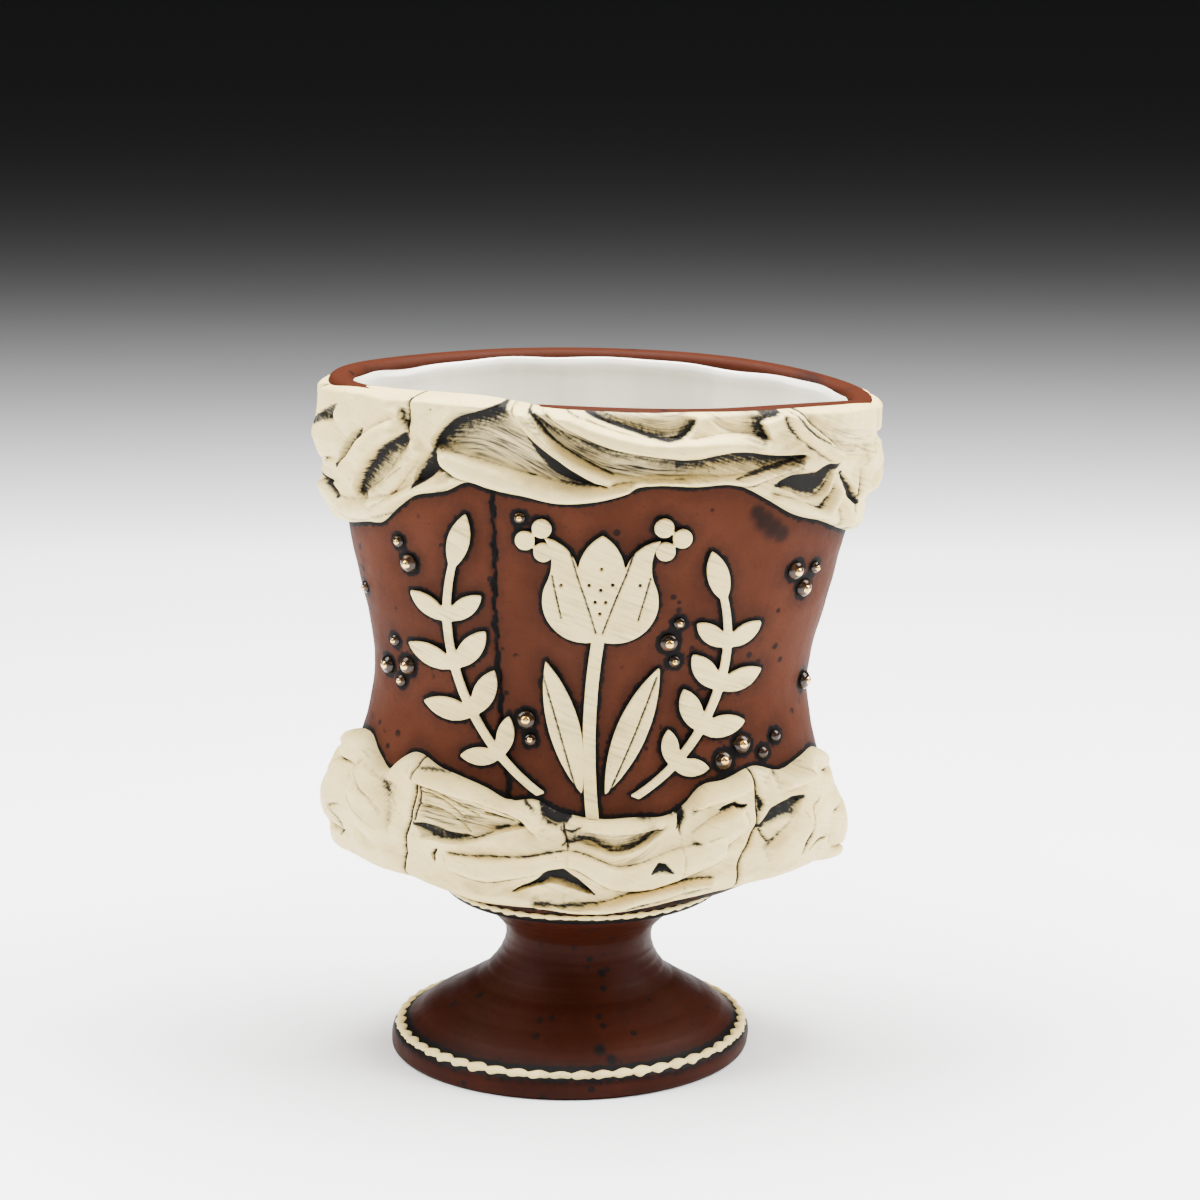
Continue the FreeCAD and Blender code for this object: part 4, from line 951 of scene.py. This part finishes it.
def makeSprig(node):
    piece = copyOf(node, "clay_" + node)
    modify(piece, "REMESH", mode="VOXEL", voxel_size=sprig["voxel"])
    modify(piece, "SMOOTH", iterations=sprig["soften"])
    world = coordinates(piece) / mm
    x, y, z = unleaned(world).T
    wide, deep = halfSizes(z)
    outer = softStep(*sprig["outer"], np.hypot(x / wide, y / deep))
    sink, wash = np.zeros_like(x), np.zeros_like(x)
    # the scored lines and pricked holes are darkened with painted shade
    for line in sprig["scored"]:
        gap = toPath(x, z, finerPath([(*spot, 1.0) for spot in line]))[0]
        sink += sprig["scoreDepth"] * np.exp(-(gap / sprig["scoreWidth"])**2)
        wash = np.maximum(wash, np.exp(-(gap / (sprig["scoreWidth"] * sprig["scoreWash"]))**2))
    for px, pz in sprig["pricked"]:
        radius = sprig["prickRadius"]
        hole = softStep(radius, radius * sprig["prickFloor"], np.hypot(x - px, z - pz))
        sink += sprig["prickDepth"] * hole
        wash = np.maximum(wash, hole)
    sink += uneven(world, sprig["uneven"])
    away = np.stack([x / wide**2, y / deep**2], -1)
    away /= np.linalg.norm(away, axis=1)[:, None]
    world[:, :2] -= away * (sink * outer)[:, None]
    setPlaces(piece, world * mm)
    most, least = clay["grainWay"]
    setMarks(piece, {"wash": wash * outer * sprig["washShare"], "grainAlong": x * most - z * least,
                     "grainAcross": x * least + z * most,
                     "grainAmount": sprig["grainShare"] + uneven(world, sprig["grainUneven"])})
    bpy.ops.object.shade_smooth()
    return place(piece, node, cream)


sprigPieces = [makeSprig(node) for node in sprig["nodes"]]
print("sprig made")


# beads: low domes of dark glaze with a gilt top each

domes = {"segments": 24, "rings": 16, "underside": 0.00008, "tilt": 0.8}


def domesFrom(node, name):
    # centre, way out, radius, low and high of each loose dome of the node
    copyOf(node, name + "_plan")
    bpy.ops.object.mode_set(mode="EDIT")
    bpy.ops.mesh.select_all(action="SELECT")
    bpy.ops.mesh.separate(type="LOOSE")
    bpy.ops.object.mode_set(mode="OBJECT")
    made = []
    for lump in sorted(bpy.context.selected_objects, key=lambda piece: piece.name):
        co = coordinates(lump)
        x, y, z = unleaned((co.max(0) + co.min(0)) / 2 / mm)
        wide, deep = (float(v) for v in halfSizes(z))
        out = Vector((x / wide**2, y / deep**2, 0)).normalized()
        out.z = -domes["tilt"] * (float(halfSizes(z + 1)[0]) - float(halfSizes(z - 1)[0])) / 2
        out = out.normalized()
        height = co @ np.array(out)
        across = co - np.outer(height, out)
        centre = (across.max(0) + across.min(0)) / 2
        radius = np.linalg.norm(across - centre, axis=1).max()
        made.append((Vector(centre), out, radius, height.min(), height.max()))
        bpy.data.objects.remove(lump)
    return made


def makeDomes(node, name, material, wide):
    # each dome is rebuilt as a fine smooth one on the same base
    parts = []
    for centre, out, radius, low, high in domesFrom(node, name):
        clearSelection()
        bpy.ops.mesh.primitive_uv_sphere_add(segments=domes["segments"], ring_count=domes["rings"], radius=1)
        dome = active()
        turn = out.to_track_quat("Z", "Y").to_matrix()
        co = coordinates(dome)
        co[:, 2] *= np.where(co[:, 2] > 0, high - low, domes["underside"])
        co[:, :2] *= radius * wide
        setPlaces(dome, co @ np.array(turn).T + np.array(centre + out * low))
        parts.append(dome)
    clearSelection()
    for dome in parts:
        dome.select_set(True)
    bpy.context.view_layer.objects.active = parts[0]
    bpy.ops.object.join()
    piece = active()
    piece.name = piece.data.name = name
    dropUvs(piece)
    bpy.ops.object.shade_smooth()
    return place(piece, node, material)


beadPiece = makeDomes("beads", "glaze_beads", beadGlaze, wide=1.0)
makeDomes("gilt_caps", "gilt_tops", gilt, wide=0.8)
print("beads made")


# wall of the cup, with its lip, its uneven hand-made face and the seam where the slab's ends meet

wall = {
    "around": 600, "denseAt": (247.5, 5, 7), "angleSteps": 7201, "rows": 108, "innerRows": 30, "lipRows": 7,
    "bottom": 39.2, "innerBottom": 43, "uneven": [(0.12, 24, 11), (0.07, 9, 12), (0.03, 4, 13)], "sunk": 0.1,
    "lipFrom": 9, "lipWander": [(0.05, 7, 0.4)], "lipOut": [(0.18, 5, 2)], "lipTone": (117.6, 118.6),
    "seamAt": [(247, 108), (246.6, 96), (245.6, 84), (245.8, 70), (247.5, 62), (251, 53), (252, 44)],
    "seamDepth": 0.55, "seamWidth": 0.5, "seamTop": 110, "seamRag": [(0.18, 1.7, 0), (0.12, 4.3, 0)],
    "seamLift": 0.22, "seamLiftReach": 3, "seamEdge": (0.1, -0.2),
    "seamWash": 1.25, "seamWashFrom": 0.25, "seamWashRag": [(0.2, 0.9, 0)],
    # the dark wash and painted shade in the corners, beside raised pieces, at the bands' edges and in the seam: no
    # gap counts beyond "far"; the gap is sought in this window of angle and height
    "far": 6.0, "corner": 0.2, "seamFar": 9, "window": (185, 352, 46, 112), "washTop": 118,
    # angle, height and size of smudges of wash
    "smudges": [(307.0, 103.4, 2.2), (309.3, 101.8, 2.9), (312.1, 100.3, 2.9), (315.1, 99.2, 2.3),
                (295.4, 95.1, 0.5), (280.1, 92.7, 0.6), (183.9, 88.1, 0.7), (219.9, 84.5, 0.5),
                (316.6, 79.6, 0.6), (183.1, 73.4, 0.8), (342.4, 66.7, 0.7), (223.9, 66.8, 0.5),
                (305.2, 61.9, 0.8)],
    "smudgeCore": 0.35, "smudgeShare": 0.8,
}


def denserAngles(count, at, width, gain):
    # angles round the cup, closer together near one place
    fine = np.linspace(0, 360, wall["angleSteps"])
    weight = 1 + gain * np.exp(-((fine - at) / width)**2)
    total = np.concatenate([[0], np.cumsum((weight[1:] + weight[:-1]) / 2)])
    return np.interp(np.linspace(0, total[-1], count + 1), total, fine)


def sectionOfWall():
    # height and place outwards of each row, from the foot of the outer face over the lip and down inside
    bend, thick, top = cup["lipRound"], cup["wall"], cup["rimTop"] - cup["lipRound"]
    turn = np.radians(np.linspace(0, 90, wall["lipRows"]))[1:]
    return np.array(
        [(z, 0.0) for z in np.linspace(wall["bottom"], top, wall["rows"])]
        + [(top + bend * math.sin(a), -bend * (1 - math.cos(a))) for a in turn]
        + [(top + bend * math.sin(a), -thick + bend * (1 - math.cos(a))) for a in turn[::-1]]
        + [(z, -thick) for z in np.linspace(top, wall["innerBottom"], wall["innerRows"])]
        + [(wall["bottom"], -thick), (wall["bottom"], 0.0)])


def gapToRelief(points, face):
    # millimetres from each place of the face to the nearest bead or leaf
    spots = np.vstack([coordinates(piece) for piece in sprigPieces + [beadPiece]])
    tree = KDTree(len(spots))
    for index, co in enumerate(spots):
        tree.insert(co, index)
    tree.balance()
    near = np.full(points.shape[:2], wall["far"])
    for row, col in np.argwhere(face):
        near[row, col] = tree.find(Vector(points[row, col] * mm))[2] / mm
    return near


def makeWall():
    section, angle = sectionOfWall()[:, :, None], denserAngles(wall["around"], *wall["denseAt"])
    z, out, angles = np.broadcast_arrays(section[:, 0], section[:, 1], angle[None])
    flat = onBody(angles, z, 0)
    outside = out > -weld
    around = np.radians(angles)
    edge = softStep(cup["rimTop"] - wall["lipFrom"], cup["rimTop"], z)
    lipRise = edge * waves(around, wall["lipWander"]) + edge * smoothCurve(cup["lipRise"], angles)
    seamX = smoothCurve([(height, at) for at, height in wall["seamAt"][::-1]], z)
    wide, deep = halfSizes(z)
    scale = np.radians(1) * np.hypot(wide * np.sin(around), deep * np.cos(around))
    gap = (angles - seamX) * scale + waves(z, wall["seamRag"])
    inSeam = outside & (z < wall["seamTop"])
    cut = wall["seamDepth"] * np.exp(-(gap / wall["seamWidth"])**2)
    lift = wall["seamLift"] * np.exp(-np.clip(-gap, 0, None) / wall["seamLiftReach"])
    lift = lift * softStep(*wall["seamEdge"], gap)
    shift = np.where(outside, uneven(flat, wall["uneven"]) - wall["sunk"], 0)
    shift = shift + edge * waves(around, wall["lipOut"]) + np.where(inSeam, lift - cut, 0)
    points = leaned(onBody(angles, z + lipRise, out + shift))
    # gap from what stands on the wall, for the dark wash and painted shade in its corners
    left, right, low, high = wall["window"]
    near = gapToRelief(points, outside & (angles > left) & (angles < right) & (z > low) & (z < high))
    bandLow = smoothCurve(rimBand["low"], angles % 360)
    bandHigh = smoothCurve(waistBand["high"], angles % 360)
    edges = np.minimum(np.abs(z - bandLow), np.abs(z - bandHigh))
    edges = np.where((z > bandLow) | (z < bandHigh), wall["corner"], edges)
    seamGap = np.abs(gap) * wall["seamWash"] + wall["seamWashFrom"] + waves(z, wall["seamWashRag"])
    seamGap = np.where(inSeam, seamGap, wall["seamFar"])
    near = np.where(outside & (z <= wall["washTop"]), np.minimum(np.minimum(near, edges), seamGap), wall["far"])
    smudge = np.zeros_like(near)
    for at, height, size in wall["smudges"]:
        away = np.hypot((angles - at) * scale, z - height)
        smudge = np.maximum(smudge, np.where(outside, softStep(size, size * wall["smudgeCore"], away), 0))
    return fromGrid("slab_wall", points, {"gap": near, "lip": softStep(*wall["lipTone"], z),
                                          "wash": smudge * wall["smudgeShare"]}, shut=False)


place(makeWall(), "cup_wall", wallClay)
print("wall made")


# white glaze inside: a thin skin with a wavy upper edge

lining = {
    "around": 320, "rows": 70, "edge": 119.75, "edgeWander": 0.5,
    "edgeWaves": [(0.5, 4, 0.6), (0.3, 9, 2), (0.2, 17, 0)],
    "swell": 0.4, "swellBelow": 1.1, "swellTall": 0.9, "edgeRound": 0.25, "edgeShare": 0.35, "play": 0.02,
    "sideBottom": 44.5, "floor": 36.7,
    # share of the bowl's width, share of the rise from its floor to the side
    "bowl": [(0.96, 0.45), (0.88, 0.12), (0.76, 0.0), (0.5, -0.015), (0.25, -0.02), (0.0, -0.02)],
    "uneven": [(0.0009, 12, 21)],
}


def bowlRows(angle, drop, grow):
    rows = []
    wide, deep = (float(v) for v in halfSizes(lining["sideBottom"]))
    for out, up in lining["bowl"]:
        x, y = onOval(angle, wide * out + weld, deep * out + weld)
        inX, inY = ((size - cup["wall"] - grow) / size if out else 0 for size in (wide, deep))
        z = lining["floor"] - drop + up * (lining["sideBottom"] - lining["floor"])
        rows.append(np.stack([x * inX, y * inY, np.full_like(x, z)], -1))
    return np.array(rows)


def makeLining():
    angle = np.linspace(0, 360, lining["around"] + 1)
    skin, thick = cup["glaze"], cup["wall"]
    edge = lining["edge"] + smoothCurve(cup["lipRise"], angle)
    edge = edge + lining["edgeWander"] * waves(np.radians(angle), lining["edgeWaves"])
    sideZ = edge + np.linspace(0, 1, lining["rows"])[:, None] * (lining["sideBottom"] - edge)
    swell = lining["swell"] * np.exp(-((sideZ - edge + lining["swellBelow"]) / lining["swellTall"])**2)
    shell = onBody(angle, sideZ, -thick - skin - swell)
    lip = onBody(angle, edge + lining["edgeRound"], -thick - skin * lining["edgeShare"])
    back = onBody(angle, sideZ[::-1], -thick - lining["play"])
    under = bowlRows(angle, skin, lining["play"])[::-1]
    points = np.vstack([back[-1:], lip[None], shell, bowlRows(angle, 0.0, skin), under, back])
    points[..., :2] *= (1 + uneven(points, lining["uneven"]))[..., None]
    return fromGrid("glaze_inside", leaned(points), shut=False)


place(makeLining(), "glaze_lining", glaze)
print("lining made")


# turned foot

foot = {
    "centreX": -5.6, "around": 240, "rows": 150, "axis": 0.02,
    # radius, height
    "outside": [(31.6, 0.0), (32.1, 0.5), (32.2, 1.2), (32.2, 2.6), (31.9, 3.5), (31.3, 4.05), (30.4, 4.45),
                (28.4, 5.8), (26.18, 7.46), (22.8, 9.4), (19.69, 11.37), (17.2, 13.0), (15.41, 14.96), (13.8, 17.6),
                (13.1, 20.5), (13.35, 22.2), (14.65, 23.96), (16.6, 25.8), (19.05, 27.41), (22.2, 28.9),
                (24.6, 29.9), (25, 30.3), (25, 31.4)],
    "hollow": [(0.02, 27.1), (5, 26.5), (8.7, 22.8), (8.7, 18.3), (12.4, 12.6), (19.2, 6.4), (25.7, 0.6),
               (26.1, 0.0)],
    "rings": 0.025, "ringWaves": [(1, 3.9, 0), (0.6, 7.3, 1)], "ringsFrom": (4.5, 7), "ringsTo": (31, 29),
    # the scalloped lines cover these, so painted shade stays beside and under them
    "edgeLine": (29.6, 31.6), "edgeFrom": 28, "edgeAbove": 2.5, "edgeWash": 0.35, "underLine": 0.2,
    "collarLine": (25, 30.2), "collarAbove": 28, "collarWash": 0.6, "far": 6.0,
    # angle, height and size of specks of wash
    "specks": [(199.7, 9.3, 0.9), (208.8, 11.6, 0.8), (253.6, 10.6, 0.7), (259.2, 11.0, 0.6),
               (254.6, 8.7, 0.7), (280.8, 7.2, 1.3), (284.7, 5.8, 1.3), (258.3, 30.2, 0.5),
               (217.9, 23.4, 0.6), (239.6, 21.8, 0.5), (266.3, 21.8, 0.6), (294.3, 23.3, 0.6),
               (279.2, 19.5, 0.8), (288.1, 17.2, 0.9), (315.4, 12.0, 0.5), (244.8, 5.4, 0.6)],
    "speckCore": 0.5, "speckFlat": 1.3, "specksAbove": 3,
}


def gapOnFoot(r, z):
    # gap for the painted shade beside and under the scalloped lines
    inner, outer = foot["edgeLine"]
    onEdge = (r > foot["edgeFrom"]) & (z > foot["edgeAbove"])
    edge = np.minimum(np.abs(r - outer), np.abs(r - inner)) + foot["edgeWash"]
    edge = np.where((r > inner) & (r < outer), foot["underLine"], edge)
    lineR, lineZ = foot["collarLine"]
    collar = np.where(z > foot["collarAbove"], np.hypot(r - lineR, z - lineZ) - foot["collarWash"], foot["far"])
    return np.where(r > foot["edgeFrom"], np.where(onEdge, edge, foot["far"]), collar)


def makeFoot():
    outside, hollow = np.array(foot["outside"]), np.array(foot["hollow"])
    steps = np.concatenate([[0], np.cumsum(np.hypot(*np.diff(outside, axis=0).T))])
    at = np.linspace(0, steps[-1], foot["rows"])
    radius, height = (smoothCurve(list(zip(steps, column)), at) for column in outside.T)
    calm = softStep(*foot["ringsFrom"], height) * softStep(*foot["ringsTo"], height)
    radius = radius + foot["rings"] * calm * waves(height, foot["ringWaves"])
    radius = np.concatenate([[foot["axis"]], radius[::-1], hollow[::-1, 0]])
    height = np.concatenate([outside[-1:, 1], height[::-1], hollow[::-1, 1]])
    angle = np.radians(np.linspace(0, 360, foot["around"] + 1))
    r, z, t = np.broadcast_arrays(radius[:, None], height[:, None], angle[None])
    x = r * np.cos(t) + foot["centreX"] + z * (cup["collarX"] - foot["centreX"]) / cup["collarTop"]
    points = np.stack([x, r * np.sin(t), np.clip(z, 0, None)], -1)
    wash = np.zeros_like(r)
    for at, up, size in foot["specks"]:
        away = np.hypot((np.degrees(t) - at) * np.radians(1) * r, (z - up) * foot["speckFlat"])
        wash = np.maximum(wash, softStep(size, size * foot["speckCore"], away) * (z > foot["specksAbove"]))
    marks = {"gap": gapOnFoot(r, z), "wash": wash, "lip": np.zeros_like(r)}
    return fromGrid("turned_foot", points, marks, shut=False)


place(makeFoot(), "foot", turnedClay)
print("foot made")


# scalloped lines of cream clay

trims = {
    "foot_edge_trim": {"radius": 30.75, "height": 3.95, "half": 1.05, "tall": 0.85, "count": 52, "centreX": -5.25,
                       "wave": 0.58, "tilt": 0.5},
    "collar_trim": {"radius": 24.75, "height": 30.9, "half": 0.55, "tall": 0.55, "count": 58, "centreX": -2.95,
                    "wave": 0.5, "tilt": 1.1},
}
# how the scallops vary: waves are (share, beats, start) round the ring
scallop = {
    "colsEach": 12, "rows": 16, "beatShift": [(0.25, 5, 0)], "fullness": 0.7, "chance": 0.3,
    "long": [(1, 13, 1)], "short": [(1, 7, 0.4)], "lowest": 0.75, "flat": -0.35, "sway": 0.2, "swayStart": 0.8,
    "washEdge": (0.25, -0.2), "stain": 0.25, "stainBeats": 3, "stainFrom": 0.86,
}


def makeTrim(node, trim):
    count, tilt = trim["count"], trim["tilt"]
    angle = np.radians(np.linspace(0, 360, count * scallop["colsEach"] + 1))[None]
    turn = np.radians(np.linspace(0, 360, scallop["rows"] + 1))[:, None]
    beat = np.abs(np.sin(angle * count / 2 + waves(angle, scallop["beatShift"])))
    chance = 1 + scallop["chance"] * waves(angle, scallop["long"]) * waves(angle, scallop["short"])
    half = trim["half"] * (1 - trim["wave"] + trim["wave"] * beat**scallop["fullness"] * chance)
    tall = trim["tall"] * (scallop["lowest"] + (1 - scallop["lowest"]) * beat)
    u, v = half * np.cos(turn), tall * np.clip(np.sin(turn), scallop["flat"], None)
    middle = trim["radius"] + scallop["sway"] * half * np.sin(angle * count + scallop["swayStart"])
    r = middle + u * math.cos(tilt) + v * math.sin(tilt)
    z = trim["height"] - u * math.sin(tilt) + v * math.cos(tilt)
    points = np.stack([r * np.cos(angle) + trim["centreX"], r * np.sin(angle), z], -1)
    stains = scallop["stain"] * (np.sin(angle * scallop["stainBeats"]) > scallop["stainFrom"])
    # painted shade darkens the underside of each scallop, and a few stains are added
    wash = np.clip(softStep(*scallop["washEdge"], np.sin(turn)) + stains, 0, 1)
    place(fromGrid("clay_" + node, points, {"wash": wash}, shut=False), node, cream)


for node, trim in trims.items():
    makeTrim(node, trim)
print("trims made")


# the dish under the wall keeps the shape of its solid, and is darkened nearly all over with painted shade

dishLook = {"gap": 0.7, "sharpFrom": math.radians(30)}
dish = copyOf("bowl_floor", "dish")
bpy.ops.object.shade_smooth_by_angle(angle=dishLook["sharpFrom"])
setMarks(dish, {"gap": np.full(len(dish.data.vertices), dishLook["gap"])})
place(dish, "bowl_floor", wallClay)


# studio: metres, degrees and watts

studio = {
    "camera": (0.0, -0.700, 0.248), "pitch": 13.35, "lens": 122.04, "film": 36,
    "lights": [
        # place, aim, size, watts
        ((-0.42, -0.06, 0.46), (0, 0, 0.06), (0.35, 0.5), 6.5),
        ((0.42, -0.02, 0.46), (0, 0, 0.06), (0.35, 0.5), 9.5),
        ((0.0, 0.04, 0.60), (0, 0.0, 0.05), (0.34, 0.26), 13.0),
        ((0.0, -0.85, 0.42), (0, 0, 0.06), (0.7, 0.35), 1.2),
    ],
    "world": 0.03,
    # painted falloff: the floor's colour fades to dark from this far behind the cup, and keeps this share of its
    # brightness a metre on
    "floor": 12, "fadeFrom": 0.4, "fadeShare": 0.0016, "mottle": ((6, 2.0), (0.3, 0.8)), "rough": 0.6,
    # painted light: the floor glows more and more from one ring round the cup to another, leaving a painted shadow
    # round the cup
    "glow": 1.5, "glowRings": (0.045, 0.17),
}
clearSelection()
bpy.ops.mesh.primitive_plane_add(size=studio["floor"], location=(0, 0, 0))
floor = active()
floor.name = "floor"
f = Finish("paleFloor")
away = f.node("ShaderNodeSeparateXYZ", {}, Vector=f.place).outputs["Y"]
paper = f.mottle(studio["mottle"], "floor", "floorShade")
# painted falloff: the floor's colour darkens behind the cup as if out of the light
paintedFalloff = f.maths("POWER", studio["fadeShare"], f.maths("SUBTRACT", away, studio["fadeFrom"]), clamp=True)
paper = f.mix(paintedFalloff, colours["farFloor"], paper)
fromCup = f.node("ShaderNodeVectorMath", {"operation": "LENGTH"}, i0=f.place).outputs["Value"]
# painted light: emission that is off near the cup and full further out, a painted shadow round it
f.plug(f.shader.inputs["Emission Color"], f.mix(f.span(fromCup, *studio["glowRings"]), colours["unlit"], paper))
f.finish(paper, studio["rough"], Emission_Strength=studio["glow"])
floor.data.materials.append(f.material)

for index, (spot, aim, size, watts) in enumerate(studio["lights"]):
    bpy.ops.object.light_add(type="AREA", location=spot)
    light = active()
    light.name = "softLight%d" % index
    light.data.shape = "RECTANGLE"
    light.data.size, light.data.size_y = size
    light.data.energy = watts
    light.rotation_euler = (Vector(aim) - Vector(spot)).to_track_quat("-Z", "Y").to_euler()

world = bpy.data.worlds.new("studio")
world.use_nodes = True
sky = world.node_tree.nodes["Background"].inputs
sky["Color"].default_value, sky["Strength"].default_value = colours["sky"], studio["world"]
bpy.context.scene.world = world

bpy.ops.object.camera_add(location=studio["camera"], rotation=(math.radians(90 - studio["pitch"]), 0, 0))
camera = active()
camera.data.lens, camera.data.sensor_width = studio["lens"], studio["film"]
bpy.context.scene.camera = camera
print("studio made")
